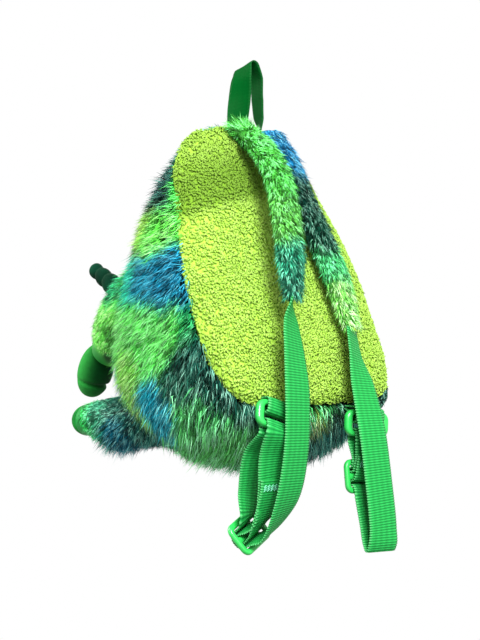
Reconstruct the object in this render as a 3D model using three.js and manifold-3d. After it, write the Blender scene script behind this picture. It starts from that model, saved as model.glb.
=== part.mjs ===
// Plush animal backpack, hanging by the ribbon handle at its top.
// Millimetres. +Z is up, the animal faces -Y and its left is +X.
// The origin is the point under the top of the handle loop, where a hook carries it.

import * as THREE from "three";
import { mergeVertices } from "three/addons/utils/BufferGeometryUtils.js";
import Module from "manifold-3d";

const wasm = await Module();
wasm.setup();

// How the bag hangs: the weight in front swings the bottom of the back outward.
const HANDLE_DROP = 52.7;
const BAG_PITCH = THREE.MathUtils.degToRad(18);
const BAG_ROLL = THREE.MathUtils.degToRad(4);
const GAP = 0.3;

// The bag wall, by level sections from the crown down to the bottom.
// half is half the width, mid the depth where it is widest, front and back the depth limits,
// square how square the back is.
const WALL = 2.5;
const BODY_COLUMNS = 28;
const BODY_ROWS = 14;
const FRONT_SQUARENESS = 2.3;
const BODY_SECTIONS = [
  { z: 5, half: 0, mid: -22, front: -22, back: -22, square: 3 },
  { z: 1, half: 32, mid: -22, front: -35, back: -8, square: 3 },
  { z: -8, half: 50, mid: -24, front: -42, back: -6, square: 3 },
  { z: -24, half: 65, mid: -27, front: -51, back: -6, square: 3 },
  { z: -43, half: 76, mid: -31, front: -67, back: -6, square: 3.3 },
  { z: -63, half: 86, mid: -36, front: -92, back: -6, square: 3.8 },
  { z: -93, half: 96, mid: -43, front: -120, back: -6, square: 5 },
  { z: -135, half: 104, mid: -50, front: -153, back: -6, square: 6 },
  { z: -172, half: 107, mid: -54, front: -170, back: -6, square: 6 },
  { z: -200, half: 109, mid: -56, front: -159, back: -6, square: 6 },
  { z: -226, half: 109, mid: -58, front: -133, back: -7, square: 6 },
  { z: -246, half: 103, mid: -58, front: -107, back: -11, square: 6 },
  { z: -260, half: 82, mid: -58, front: -88, back: -28, square: 6 },
  { z: -268, half: 46, mid: -58, front: -74, back: -44, square: 6 },
  { z: -271, half: 0, mid: -58, front: -58, back: -58, square: 6 },
];

// The pile: locks that stand off the wall and droop.
const COAT_COLUMNS = 36;
const COAT_ROWS = 24;
const PILE_ROOT = 4.5;
const PILE_LOCK = 7;
const PILE_DROOP = 7;

// The padded back panel.
const PANEL = {
  middle: -127,
  rise: 130,
  drop: 119,
  half: 107,
  crownOverhang: 10,
  sideOverhang: 2,
  crownLevel: -35,
  sideLevel: -65,
  topSquareness: 3,
  bottomSquareness: 6,
};
const PANEL_SEGMENTS = 32;
const PANEL_RINGS = 4;
const PANEL_RIM = 5;
const PANEL_CROWN = 9;
const PANEL_INSIDE = 2.5;
const PANEL_SEAM = 0.97;
const PANEL_OPENING = { from: -16, to: 60 };

// The zip, a strip over the crown of the gusset.
const ZIP = { depth: -33, width: 6, lowest: -95, highest: 40, across: 150, proud: 1.2, parting: 2 };

// The head on the front, by rounds along its axis from the neck to the muzzle.
const HEAD = { x: 0, y: -188, z: -98, tilt: THREE.MathUtils.degToRad(16.5) };
const HEAD_ROUNDS = [
  { along: -92, half: 29, high: 29 },
  { along: -66, half: 29, high: 29 },
  { along: -40, half: 32, high: 31 },
  { along: -16, half: 35, high: 33 },
  { along: 6, half: 33, high: 31 },
  { along: 28, half: 28, high: 26 },
  { along: 48, half: 22, high: 20 },
  { along: 62, half: 16, high: 14 },
];
const HEAD_NOSE = 66;
const HEAD_LOCK = 4;
const MUZZLE = { y: -268, z: -124, half: 18.5, long: 27, thick: 18, tilt: THREE.MathUtils.degToRad(46) };
const MUZZLE_COLUMNS = 14;
const MUZZLE_ROWS = 12;
const MOUTH = { along: 9, depth: 2.2, wide: 3.5 };
const HORN = {
  y: -208,
  z: -64,
  tilt: THREE.MathUtils.degToRad(52),
  root: 8,
  base: 8,
  tip: 5,
  length: 44,
  rings: 4,
  swell: 1,
};
const EYE = { along: 42, side: 12.5, up: 19, radius: 6 };

// The legs, by rounds along the axis from inside the bottom to the sole.
const LEG = { x: 64, y: -116, z: -220, lift: THREE.MathUtils.degToRad(18) };
const LEG_ROUNDS = [
  { along: -6, half: 20, high: 17 },
  { along: 26, half: 23, high: 19 },
  { along: 58, half: 22, high: 18 },
  { along: 85, half: 19, high: 16 },
  { along: 109, half: 16, high: 14 },
];
const LEG_LOCK = 4;
const SOLE = { rim: 15, dome: 13, columns: 12, rows: 4 };

// Woven strap and ribbon.
const WEB_WIDTH = 30;
const WEB_THICK = 1.5;
const RIBBON_WIDTH = 19;
const RIBBON_THICK = 1.2;

// The handle loop, in the bag's frame, with the way the ribbon's width points at each place.
const HANDLE_ROUTE = [
  { x: 9, y: -6, z: -9, wx: 1, wy: 0, wz: 0 },
  { x: 7.5, y: -1, z: 8, wx: 0.88, wy: -0.45, wz: 0 },
  { x: 6, y: 7, z: 25, wx: 0.6, wy: -0.8, wz: 0 },
  { x: 4.5, y: 14.5, z: 41, wx: 0.25, wy: -0.97, wz: 0 },
  { x: 0.5, y: 17.3, z: 50.3, wx: 0.1, wy: -1, wz: 0 },
  { x: -7, y: 17.1, z: 50.5, wx: -0.2, wy: -0.98, wz: 0 },
  { x: -13, y: 14.5, z: 41, wx: -0.26, wy: -0.96, wz: 0 },
  { x: -15.5, y: 7.5, z: 25, wx: -0.3, wy: -0.95, wz: 0 },
  { x: -18, y: 1, z: 11, wx: -0.4, wy: -0.92, wz: 0 },
  { x: -22, y: -5, z: -8, wx: -1, wy: -0.3, wz: 0 },
];

// The stuffed fur halves of the shoulder straps, in the bag's frame.
const PAD = { half: 13, thick: 5.5, lock: 3, columns: 12, steps: 14 };
const PAD_ROUTES = {
  left: [
    { x: 13, y: 3, z: -4 },
    { x: 16, y: 22, z: -34 },
    { x: 24, y: 35, z: -68 },
    { x: 34, y: 39, z: -103 },
    { x: 43, y: 38, z: -141 },
    { x: 47, y: 32, z: -170 },
  ],
  right: [
    { x: -21, y: 3, z: -5 },
    { x: -22, y: 12, z: -36 },
    { x: -22, y: 16, z: -72 },
    { x: -27, y: 19, z: -112 },
    { x: -31, y: 20, z: -152 },
    { x: -33, y: 18, z: -190 },
  ],
};

// How far a tab runs into the seam behind its ring, and how loosely it hangs on it.
const TAB = { deep: 16, rise: 4, slack: 4.5 };

// Plastic rings and strap adjusters: bar sizes, and where they hang.
const RING = { bar: 4.5, rail: 5.5, inner: 31.5, height: 22, depth: 6, corner: 5 };
const SLIDER = { outerBar: 4.5, slot: 6.5, middleBar: 5, rail: 4.4, inner: 31.2, depth: 4.5, corner: 4 };
// How far the middle of a strap lies from a bar that it turns round.
const TURN = 1.75;
const RING_PLACES = {
  left: { x: 48, y: 80, z: -249, turn: 0.19, slope: 0.28, lean: -0.24 },
  right: { x: -52, y: 86, z: -253, turn: 0.19, slope: 0.06, lean: 0 },
};
const SLIDER_PLACES = {
  left: { x: 44, y: 44, z: -338, rail: [0.424, -0.439, 0.79], bar: [0.905, 0.196, -0.377] },
  right: { x: -52, y: 83, z: -296, rail: [-0.04, -0.12, 0.99], bar: [0.98, -0.19, 0] },
};

// How a strap turns round a slider's middle bar, loosely where it slides and close where it is sewn.
const SLIDING_TURN = [
  { up: -7.4, out: 2 },
  { up: -6.8, out: -3.4 },
  { up: -3.8, out: -6 },
  { up: 0, out: -6.7 },
  { up: 3.8, out: -6 },
  { up: 6.8, out: -3.4 },
  { up: 7.4, out: 2 },
];
const SEWN_TURN = [
  { up: 3.4, out: 3.2 },
  { up: 3.9, out: 0 },
  { up: 3.2, out: -3.1 },
  { up: 0, out: -4 },
  { up: -3.2, out: -3.1 },
  { up: -3.9, out: 0 },
  { up: -3.4, out: 3.2 },
];

// How each strap comes to its slider and leaves it.
const SLIDER_WAYS = {
  left: {
    slidingIn: [{ up: -10.4, out: 14 }, { up: -8.6, out: 7 }],
    slidingOut: [{ up: 8.6, out: 7 }, { up: 11, out: 11 }],
    sewnIn: [{ up: 2.2, out: 18 }, { up: 2, out: 9 }],
    sewnOut: [{ up: -2, out: 9 }],
  },
  right: {
    slidingIn: [{ up: -16, out: 4.6 }, { up: -11, out: 4.3 }],
    slidingOut: [{ up: 11, out: 4.3 }, { up: 16, out: 4.2 }],
    sewnIn: [{ up: 14, out: 8.6 }, { up: 8, out: 6.2 }],
    sewnOut: [{ up: -2.6, out: 5 }, { up: 1, out: 7.4 }, { up: 8, out: 10 }, { up: 15, out: 12.2 }],
  },
};

// Plain looks of the materials.
const LOOKS = {
  fur: { color: 0x2f9a63, roughness: 0.95, metalness: 0 },
  lining: { color: 0x1f6f52, roughness: 0.95, metalness: 0 },
  sherpa: { color: 0xa8d836, roughness: 1, metalness: 0 },
  webbing: { color: 0x28c350, roughness: 0.7, metalness: 0 },
  plastic: { color: 0x46e15f, roughness: 0.35, metalness: 0 },
  ribbon: { color: 0x007328, roughness: 0.4, metalness: 0 },
  velvet: { color: 0x2f9a45, roughness: 0.9, metalness: 0 },
  horn: { color: 0x00462d, roughness: 0.6, metalness: 0 },
  eye: { color: 0x0b0b0c, roughness: 0.15, metalness: 0 },
  zip: { color: 0x1d6b3a, roughness: 0.6, metalness: 0 },
};

const v3 = (x, y, z) => new THREE.Vector3(x, y, z);
const power = (value, exponent) => Math.sign(value) * Math.abs(value) ** exponent;

// A repeatable spread of values between 0 and 1 for the locks.
function spread(i, j) {
  const wave = Math.sin(i * 12.9898 + j * 78.233) * 43758.5453;
  return wave - Math.floor(wave);
}

// Smooth values between the rows of a table, at a place from 0 to 1 along it.
function rowAt(table, place) {
  const at = THREE.MathUtils.clamp(place, 0, 1) * (table.length - 1);
  const index = Math.min(Math.floor(at), table.length - 2);
  const share = at - index;
  const row = {};
  for (const column of Object.keys(table[0])) {
    const pick = (step) => table[THREE.MathUtils.clamp(index + step, 0, table.length - 1)][column];
    const slopeIn = (pick(1) - pick(-1)) / 2;
    const slopeOut = (pick(2) - pick(0)) / 2;
    const rise = pick(1) - pick(0);
    const bend = 3 * rise - 2 * slopeIn - slopeOut;
    const twist = slopeIn + slopeOut - 2 * rise;
    row[column] = pick(0) + share * (slopeIn + share * (bend + share * twist));
  }
  return row;
}

// A closed body from points and faces, with its faces pointing out.
function bodyOf(points, faces) {
  const geometry = new THREE.BufferGeometry().setFromPoints(points);
  let volume = 0;
  for (const [a, b, c] of faces) {
    volume += points[a].dot(v3().crossVectors(points[b], points[c]));
  }
  const outward = volume > 0 ? faces : faces.map(([a, b, c]) => [a, c, b]);
  geometry.setIndex(outward.flat());
  return geometry;
}

// A closed body through rings of equal count, each end closed to a point.
function loft(rings, start, end, splitOtherWay = []) {
  const count = rings[0].length;
  const points = [...rings.flat(), start, end];
  const first = points.length - 2;
  const last = points.length - 1;
  const tail = (rings.length - 1) * count;
  const faces = [];
  for (let i = 0; i < count; i++) {
    const next = (i + 1) % count;
    faces.push([first, next, i]);
    faces.push([last, tail + i, tail + next]);
    for (let r = 0; r < rings.length - 1; r++) {
      const a = r * count;
      const b = a + count;
      if (splitOtherWay.includes(i)) {
        faces.push([a + i, a + next, b + i]);
        faces.push([a + next, b + next, b + i]);
      } else {
        faces.push([a + i, a + next, b + next]);
        faces.push([a + i, b + next, b + i]);
      }
    }
  }
  return bodyOf(points, faces);
}

// Solids to join and cut, and back to geometry.
function solid(geometry) {
  const bare = new THREE.BufferGeometry();
  bare.setAttribute("position", geometry.getAttribute("position"));
  if (geometry.index) {
    bare.setIndex(geometry.index);
  }
  const merged = mergeVertices(bare, 1e-4);
  const vertProperties = new Float32Array(merged.getAttribute("position").array);
  const triVerts = new Uint32Array(merged.index.array);
  return new wasm.Manifold(new wasm.Mesh({ numProp: 3, vertProperties, triVerts }));
}

function geometryOf(shape) {
  const mesh = shape.getMesh();
  const geometry = new THREE.BufferGeometry();
  geometry.setAttribute("position", new THREE.BufferAttribute(new Float32Array(mesh.vertProperties), 3));
  geometry.setIndex(new THREE.BufferAttribute(new Uint32Array(mesh.triVerts), 1));
  return geometry;
}

// Cut others out of a shape and keep its main body, without crumbs.
function cut(shape, ...others) {
  const left = others.reduce((rest, other) => rest.subtract(other), shape);
  return left.decompose().reduce((most, body) => (body.volume() > most.volume() ? body : most));
}

// A box between two corners.
function block(low, high) {
  const geometry = new THREE.BoxGeometry(high.x - low.x, high.y - low.y, high.z - low.z);
  geometry.translate((high.x + low.x) / 2, (high.y + low.y) / 2, (high.z + low.z) / 2);
  return geometry;
}

// The bag's surface: place runs from crown to bottom, turn goes once round.
function bodySurface(place, turn) {
  const row = rowAt(BODY_SECTIONS, place);
  const across = Math.cos(turn);
  const deep = Math.sin(turn);
  const squareness = deep > 0 ? row.square : FRONT_SQUARENESS;
  const reach = deep > 0 ? row.back - row.mid : row.mid - row.front;
  return v3(
    Math.max(row.half, 0) * power(across, 2 / squareness),
    row.mid + reach * power(deep, 2 / squareness),
    row.z,
  );
}

function bodyNormal(place, turn) {
  const step = 0.01;
  const down = bodySurface(place + step, turn).sub(bodySurface(place - step, turn));
  const round = bodySurface(place, turn + step).sub(bodySurface(place, turn - step));
  return v3().crossVectors(down, round).normalize();
}

// The bag's section at a height.
function sectionAt(z) {
  const levels = BODY_SECTIONS.map((row) => row.z);
  const below = levels.findIndex((level) => level < z);
  const index = THREE.MathUtils.clamp(below - 1, 0, levels.length - 2);
  let low = index / (levels.length - 1);
  let high = (index + 1) / (levels.length - 1);
  for (let i = 0; i < 30; i++) {
    const middle = (low + high) / 2;
    if (rowAt(BODY_SECTIONS, middle).z > z) {
      low = middle;
    } else {
      high = middle;
    }
  }
  return rowAt(BODY_SECTIONS, (low + high) / 2);
}

// The depth of the bag's back at a place on it.
function backDepth(x, z) {
  const row = sectionAt(z);
  const share = Math.min(Math.abs(x) / row.half, PANEL_SEAM);
  return row.mid + (row.back - row.mid) * (1 - share ** row.square) ** (1 / row.square);
}

// The bag's closed form, moved out from its surface by an amount that may vary.
function bodyForm(columns, rows, outward) {
  const rings = [];
  for (let r = 1; r < rows; r++) {
    const place = r / rows;
    const ring = [];
    for (let c = 0; c < columns; c++) {
      const turn = (2 * Math.PI * c) / columns;
      const { out, down } = outward(r, c);
      ring.push(bodySurface(place, turn).addScaledVector(bodyNormal(place, turn), out).add(v3(0, 0, -down)));
    }
    rings.push(ring);
  }
  const edge = outward(0, 0).out;
  const top = bodySurface(0, 0).add(v3(0, 0, edge));
  const bottom = bodySurface(1, 0).add(v3(0, 0, -edge));
  return loft(rings, top, bottom);
}

const evenBody = (out) => bodyForm(BODY_COLUMNS, BODY_ROWS, () => ({ out, down: 0 }));

// One lock covers two columns and two rows: low at its root, proud and drooped at its tip.
function lockAt(r, c) {
  const tuft = Math.floor(r / 2);
  const tip = r % 2 === 1 && (c + tuft) % 2 === 0;
  const rib = (c + tuft) % 2 === 0 ? 0.35 : 0;
  const vary = 0.6 + 0.6 * spread(c, tuft);
  return { rise: tip ? vary : rib, droop: tip ? vary : 0 };
}

function coatForm() {
  return bodyForm(COAT_COLUMNS, COAT_ROWS, (r, c) => {
    const lock = lockAt(r, c);
    const ends = Math.min(1, (r + 1) / 6, (COAT_ROWS - r) / 4);
    const seam = 1 - 0.75 * THREE.MathUtils.smoothstep(Math.sin((2 * Math.PI * c) / COAT_COLUMNS), 0.1, 0.6);
    const full = ends * seam;
    return {
      out: PILE_ROOT * (0.6 + 0.4 * full) + PILE_LOCK * lock.rise * full,
      down: PILE_DROOP * lock.droop * full,
    };
  });
}

// The outline of the back panel, grown by an amount.
function panelOutline(angle, grow) {
  const across = Math.cos(angle);
  const up = Math.sin(angle);
  const squareness = up > 0 ? PANEL.topSquareness : PANEL.bottomSquareness;
  const tall = up > 0 ? PANEL.rise : PANEL.drop;
  const level = PANEL.middle + tall * power(up, 2 / squareness);
  const crown = THREE.MathUtils.smoothstep(level, PANEL.sideLevel, PANEL.crownLevel);
  const overhang = THREE.MathUtils.lerp(PANEL.sideOverhang, PANEL.crownOverhang, crown);
  const limit = sectionAt(level).half + overhang;
  const half = Math.min(PANEL.half * Math.abs(power(across, 2 / squareness)), limit);
  return {
    x: Math.sign(across) * (half + grow * Math.abs(across)),
    z: level + grow * up,
  };
}

function panelForm(grow) {
  const front = [];
  const behind = [];
  for (let r = 1; r <= PANEL_RINGS; r++) {
    const share = r / PANEL_RINGS;
    const swell = PANEL_CROWN * (1 - share ** 2);
    const ringFront = [];
    const ringBehind = [];
    for (let s = 0; s < PANEL_SEGMENTS; s++) {
      const angle = (2 * Math.PI * s) / PANEL_SEGMENTS;
      const seam = panelOutline(angle, 0);
      const rim = panelOutline(angle, grow);
      const x = rim.x * share;
      const z = PANEL.middle + (rim.z - PANEL.middle) * share;
      const depth = backDepth(seam.x * share, PANEL.middle + (seam.z - PANEL.middle) * share);
      const edge = r === PANEL_RINGS ? PANEL_RIM * 0.4 : PANEL_RIM;
      ringFront.push(v3(x, depth + swell + edge + grow, z));
      ringBehind.push(v3(x, depth + swell - PANEL_INSIDE - grow, z));
    }
    front.push(ringFront);
    behind.unshift(ringBehind);
  }
  const depth = backDepth(0, PANEL.middle) + PANEL_CROWN;
  const outer = v3(0, depth + PANEL_RIM + grow, PANEL.middle);
  const inner = v3(0, depth - PANEL_INSIDE - grow, PANEL.middle);
  return loft([...front, ...behind], outer, inner);
}

// A straight-walled block of the panel's outline, to open the wall and the coat behind it.
function panelOpening(grow) {
  const from = [];
  const to = [];
  for (let s = 0; s < PANEL_SEGMENTS; s++) {
    const rim = panelOutline((2 * Math.PI * s) / PANEL_SEGMENTS, grow);
    from.push(v3(rim.x, PANEL_OPENING.from, rim.z));
    to.push(v3(rim.x, PANEL_OPENING.to, rim.z));
  }
  const middle = (depth) => v3(0, depth, PANEL.middle);
  return loft([from, to], middle(PANEL_OPENING.from), middle(PANEL_OPENING.to));
}

// A round form along an axis, with locks on its skin where asked for.
function roundForm(table, axis, options) {
  const { columns, steps, lock, grow, noseAlong } = { lock: 0, grow: 0, ...options };
  const rings = [];
  for (let r = 0; r <= steps; r++) {
    const row = rowAt(table, r / steps);
    const fade = Math.min(1, r / 3) * (r === steps ? 0.3 : 1);
    const ring = [];
    for (let c = 0; c < columns; c++) {
      const turn = (2 * Math.PI * c) / columns;
      const tuft = lockAt(r, c);
      const out = grow + lock * tuft.rise * fade;
      const along = row.along + lock * 0.8 * tuft.droop * fade;
      ring.push(axis(along, (row.half + out) * Math.cos(turn), (row.high + out) * Math.sin(turn)));
    }
    rings.push(ring);
  }
  const first = table[0].along;
  const last = noseAlong ?? table[table.length - 1].along;
  return loft(rings, axis(first - grow, 0, 0), axis(last + grow, 0, 0));
}

// Head axis: forward and down by its tilt.
function headAxis(along, side, up) {
  const forward = v3(0, -Math.cos(HEAD.tilt), -Math.sin(HEAD.tilt));
  const lift = v3(0, -Math.sin(HEAD.tilt), Math.cos(HEAD.tilt));
  return v3(HEAD.x + side, HEAD.y, HEAD.z).addScaledVector(forward, along).addScaledVector(lift, up);
}

const headForm = (grow) =>
  roundForm(HEAD_ROUNDS, headAxis, { columns: 18, steps: 12, lock: HEAD_LOCK, grow, noseAlong: HEAD_NOSE });

// The muzzle: an egg whose mouth is a shallow groove round its lower front.
function muzzleForm() {
  const forward = v3(0, -Math.cos(MUZZLE.tilt), -Math.sin(MUZZLE.tilt));
  const lift = v3(0, -Math.sin(MUZZLE.tilt), Math.cos(MUZZLE.tilt));
  const place = (along, side, up) =>
    v3(side, MUZZLE.y, MUZZLE.z).addScaledVector(forward, along).addScaledVector(lift, up);
  const rings = [];
  for (let r = 1; r < MUZZLE_ROWS; r++) {
    const angle = (Math.PI * r) / MUZZLE_ROWS;
    const along = -MUZZLE.long * Math.cos(angle);
    const groove = MOUTH.depth * Math.exp(-(((along - MOUTH.along) / MOUTH.wide) ** 2));
    const ring = [];
    for (let c = 0; c < MUZZLE_COLUMNS; c++) {
      const turn = (2 * Math.PI * c) / MUZZLE_COLUMNS;
      const under = Math.max(0, 0.6 - Math.sin(turn)) / 1.6;
      const round = Math.sin(angle) ** 0.85;
      const inward = groove * under;
      ring.push(
        place(
          along,
          (MUZZLE.half * round - inward) * Math.cos(turn),
          (MUZZLE.thick * round - inward) * Math.sin(turn),
        ),
      );
    }
    rings.push(ring);
  }
  return loft(rings, place(-MUZZLE.long, 0, 0), place(MUZZLE.long, 0, 0));
}

// The horn: a tapered round with swollen rings and a blunt tip.
function hornForm() {
  const profile = [new THREE.Vector2(0, -HORN.root)];
  const steps = HORN.rings * 3;
  for (let i = 0; i <= steps; i++) {
    const share = i / steps;
    const swell = HORN.swell * Math.cos(2 * Math.PI * HORN.rings * share);
    const radius = HORN.base + (HORN.tip - HORN.base) * share - swell;
    const height = -HORN.root + (HORN.length + HORN.root / 2) * share;
    profile.push(new THREE.Vector2(i === 0 ? HORN.base : radius, height));
  }
  profile.push(new THREE.Vector2(HORN.tip * 0.55, HORN.length - 0.6));
  profile.push(new THREE.Vector2(0, HORN.length));
  const geometry = new THREE.LatheGeometry(profile, 10);
  geometry.rotateX(Math.PI - HORN.tilt);
  geometry.translate(0, HORN.y, HORN.z);
  return geometry;
}

// Leg axis: forward and lifted, on the side given by its sign.
function legAxis(sign) {
  const forward = v3(0, -Math.cos(LEG.lift), Math.sin(LEG.lift));
  const lift = v3(0, Math.sin(LEG.lift), Math.cos(LEG.lift));
  return (along, side, up) =>
    v3(sign * (LEG.x + side), LEG.y, LEG.z).addScaledVector(forward, along).addScaledVector(lift, up);
}

const legForm = (sign, grow) =>
  roundForm(LEG_ROUNDS, legAxis(sign), { columns: 14, steps: 8, lock: LEG_LOCK, grow });

// The sole: a low dome over the leg's flat end.
function soleForm(sign) {
  const axis = legAxis(sign);
  const end = LEG_ROUNDS[LEG_ROUNDS.length - 1];
  const start = end.along + GAP;
  const rings = [];
  for (let r = 0; r < SOLE.rows; r++) {
    const angle = (Math.PI / 2) * (r / SOLE.rows);
    const ring = [];
    for (let c = 0; c < SOLE.columns; c++) {
      const turn = (2 * Math.PI * c) / SOLE.columns;
      const round = SOLE.rim * Math.cos(angle) ** 0.8;
      ring.push(
        axis(
          start + SOLE.dome * Math.sin(angle),
          round * Math.cos(turn) * (end.half / end.high) ** 0.5,
          round * Math.sin(turn) * (end.high / end.half) ** 0.5,
        ),
      );
    }
    rings.push(ring);
  }
  return loft(rings, axis(start, 0, 0), axis(start + SOLE.dome, 0, 0));
}

// A smooth line through a route's places.
const routeCurve = (route) =>
  new THREE.CatmullRomCurve3(
    route.map((place) => v3(place.x, place.y, place.z)),
    false,
    "centripetal",
  );

// A stuffed strap: an oval section along a route, lying flat to the panel.
function padForm(route, grow) {
  const curve = routeCurve(route);
  const rings = [];
  for (let r = 0; r <= PAD.steps; r++) {
    const share = r / PAD.steps;
    const along = curve.getTangentAt(share);
    const side = v3(1, 0, 0).addScaledVector(along, -along.x).normalize();
    const out = v3().crossVectors(along, side).normalize();
    const taper = share < 0.93 ? 1 : 0.75;
    const fade = Math.min(1, r / 2) * (r === PAD.steps ? 0 : 1);
    const ring = [];
    for (let c = 0; c < PAD.columns; c++) {
      const turn = (2 * Math.PI * c) / PAD.columns;
      const tuft = lockAt(r, c);
      const outside = out.y * Math.sin(turn) > -0.3 ? 1 : 0.2;
      const lift = grow + PAD.lock * tuft.rise * fade * outside;
      ring.push(
        curve
          .getPointAt(share)
          .addScaledVector(side, (PAD.half * taper + lift) * Math.cos(turn))
          .addScaledVector(out, (PAD.thick * taper + lift) * Math.sin(turn))
          .addScaledVector(along, PAD.lock * 0.8 * tuft.droop * fade * outside),
      );
    }
    rings.push(ring);
  }
  const startAlong = curve.getTangentAt(0);
  const endAlong = curve.getTangentAt(1);
  return loft(
    rings,
    curve.getPointAt(0).addScaledVector(startAlong, -grow),
    curve.getPointAt(1).addScaledVector(endAlong, 2 + grow),
  );
}

// A flat band along places that each hold a point and the way its width points.
function bandForm(places, width, thick, grow = 0) {
  const rings = [];
  places.forEach((place, i) => {
    const before = places[Math.max(i - 1, 0)].point;
    const after = places[Math.min(i + 1, places.length - 1)].point;
    const along = after.clone().sub(before).normalize();
    const side = place.side.clone().addScaledVector(along, -along.dot(place.side)).normalize();
    const face = v3().crossVectors(along, side);
    const corner = (a, b) =>
      place.point
        .clone()
        .addScaledVector(side, a * (width / 2 + grow))
        .addScaledVector(face, b * (thick / 2 + grow));
    rings.push([corner(1, 1), corner(-1, 1), corner(-1, -1), corner(1, -1)]);
  });
  const innerFace = 2;
  return loft(rings, places[0].point, places[places.length - 1].point, [innerFace]);
}

// Even steps along a route, with the width's direction carried smoothly.
function routePlaces(route, steps) {
  const curve = routeCurve(route);
  const sides = new THREE.CatmullRomCurve3(route.map((place) => v3(place.wx, place.wy, place.wz)));
  const places = [];
  for (let i = 0; i <= steps; i++) {
    const share = i / steps;
    const u = curve.getUtoTmapping(share);
    places.push({ point: curve.getPoint(u), side: sides.getPoint(u).normalize() });
  }
  return places;
}

// A plastic frame with windows, flat in its own plane and centred on it.
function frameForm(width, height, windows, depth, corner) {
  const rounded = (shape, x, y, w, h, radius) => {
    shape.moveTo(x + radius, y);
    shape.lineTo(x + w - radius, y);
    shape.quadraticCurveTo(x + w, y, x + w, y + radius);
    shape.lineTo(x + w, y + h - radius);
    shape.quadraticCurveTo(x + w, y + h, x + w - radius, y + h);
    shape.lineTo(x + radius, y + h);
    shape.quadraticCurveTo(x, y + h, x, y + h - radius);
    shape.lineTo(x, y + radius);
    shape.quadraticCurveTo(x, y, x + radius, y);
    return shape;
  };
  const outline = rounded(new THREE.Shape(), -width / 2, -height / 2, width, height, corner);
  for (const hole of windows) {
    const tall = hole.high - hole.low;
    outline.holes.push(rounded(new THREE.Path(), -hole.width / 2, hole.low, hole.width, tall, 1));
  }
  const geometry = new THREE.ExtrudeGeometry(outline, { depth, bevelEnabled: false, curveSegments: 3 });
  return geometry.translate(0, 0, -depth / 2);
}

// A rigid piece's own axes: bars along the first, rails along the second, face along the third.
function ringBasis(place) {
  const bar = v3(Math.cos(place.turn), -Math.sin(place.turn), place.slope).normalize();
  const rail = v3(0, place.lean, 1);
  rail.addScaledVector(bar, -rail.dot(bar)).normalize();
  return basisOf(v3(place.x, place.y, place.z), bar, rail);
}

function sliderBasis(place) {
  const rail = v3(...place.rail).normalize();
  const bar = v3(...place.bar);
  bar.addScaledVector(rail, -rail.dot(bar)).normalize();
  return basisOf(v3(place.x, place.y, place.z), bar, rail);
}

function basisOf(origin, bar, rail) {
  const face = v3().crossVectors(bar, rail);
  return {
    origin,
    bar,
    rail,
    face,
    at: (up, out) => origin.clone().addScaledVector(rail, up).addScaledVector(face, out),
    matrix: new THREE.Matrix4().makeBasis(bar, rail, face).setPosition(origin),
  };
}

// The bag's own frame, tipped as it hangs.
const bagTip = new THREE.Euler(BAG_PITCH, BAG_ROLL, 0, "YXZ");
const bagMatrix = new THREE.Matrix4().makeRotationFromEuler(bagTip);

// Which way the pieces' faces look: outward from the bag's back.
function facingOut(basis) {
  return basis.face.y >= 0 ? 1 : -1;
}

// Round a ring's lower bar: up behind it, over it and down in front.
function overLowerBar(basis) {
  const out = facingOut(basis);
  const bar = -(RING.height - RING.bar) / 2;
  const reach = RING.depth / 2 + TURN;
  const over = RING.bar / 2 + TURN;
  const steps = [
    [-reach, -6],
    [-reach, -1],
    [-reach * 0.76, over * 0.76],
    [0, over],
    [reach * 0.76, over * 0.76],
    [reach, -1],
    [reach + GAP, -6],
  ];
  return steps.map(([deep, up]) => ({ point: basis.at(bar + up, out * deep), side: basis.bar }));
}

// A tab: out of the bottom seam, behind a ring's upper bar, under it and back.
function tabPlaces(basis) {
  const out = facingOut(basis);
  const bar = (RING.height - RING.bar) / 2;
  const reach = RING.depth / 2 + TURN;
  const under = RING.bar / 2 + TURN;
  const steps = [
    [-TAB.deep, TAB.rise - 1.3],
    [-reach * 1.5, 1],
    [-reach * 0.8, -under * 0.7 - TAB.slack],
    [0, -under - TAB.slack],
    [reach * 0.8, -under * 0.7 - TAB.slack],
    [reach, 0],
    [reach * 0.7, under * 0.8],
    [-TAB.deep, TAB.rise + 1.3],
  ];
  return steps.map(([deep, up]) => ({ point: basis.at(bar + up, out * deep), side: basis.bar }));
}

// A strap's run at a slider, seen in its own plane: up along the rails and out from its face.
function sliderRun(basis, ...stretches) {
  const out = facingOut(basis);
  return stretches.flat().map((row) => ({ point: basis.at(row.up, out * row.out), side: basis.bar }));
}

const rings = { left: ringBasis(RING_PLACES.left), right: ringBasis(RING_PLACES.right) };
const sliders = { left: sliderBasis(SLIDER_PLACES.left), right: sliderBasis(SLIDER_PLACES.right) };

// A place on a strap between its fixed pieces.
const free = (x, y, z, wx, wy, wz) => ({ point: v3(x, y, z), side: v3(wx, wy, wz).normalize() });

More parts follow.
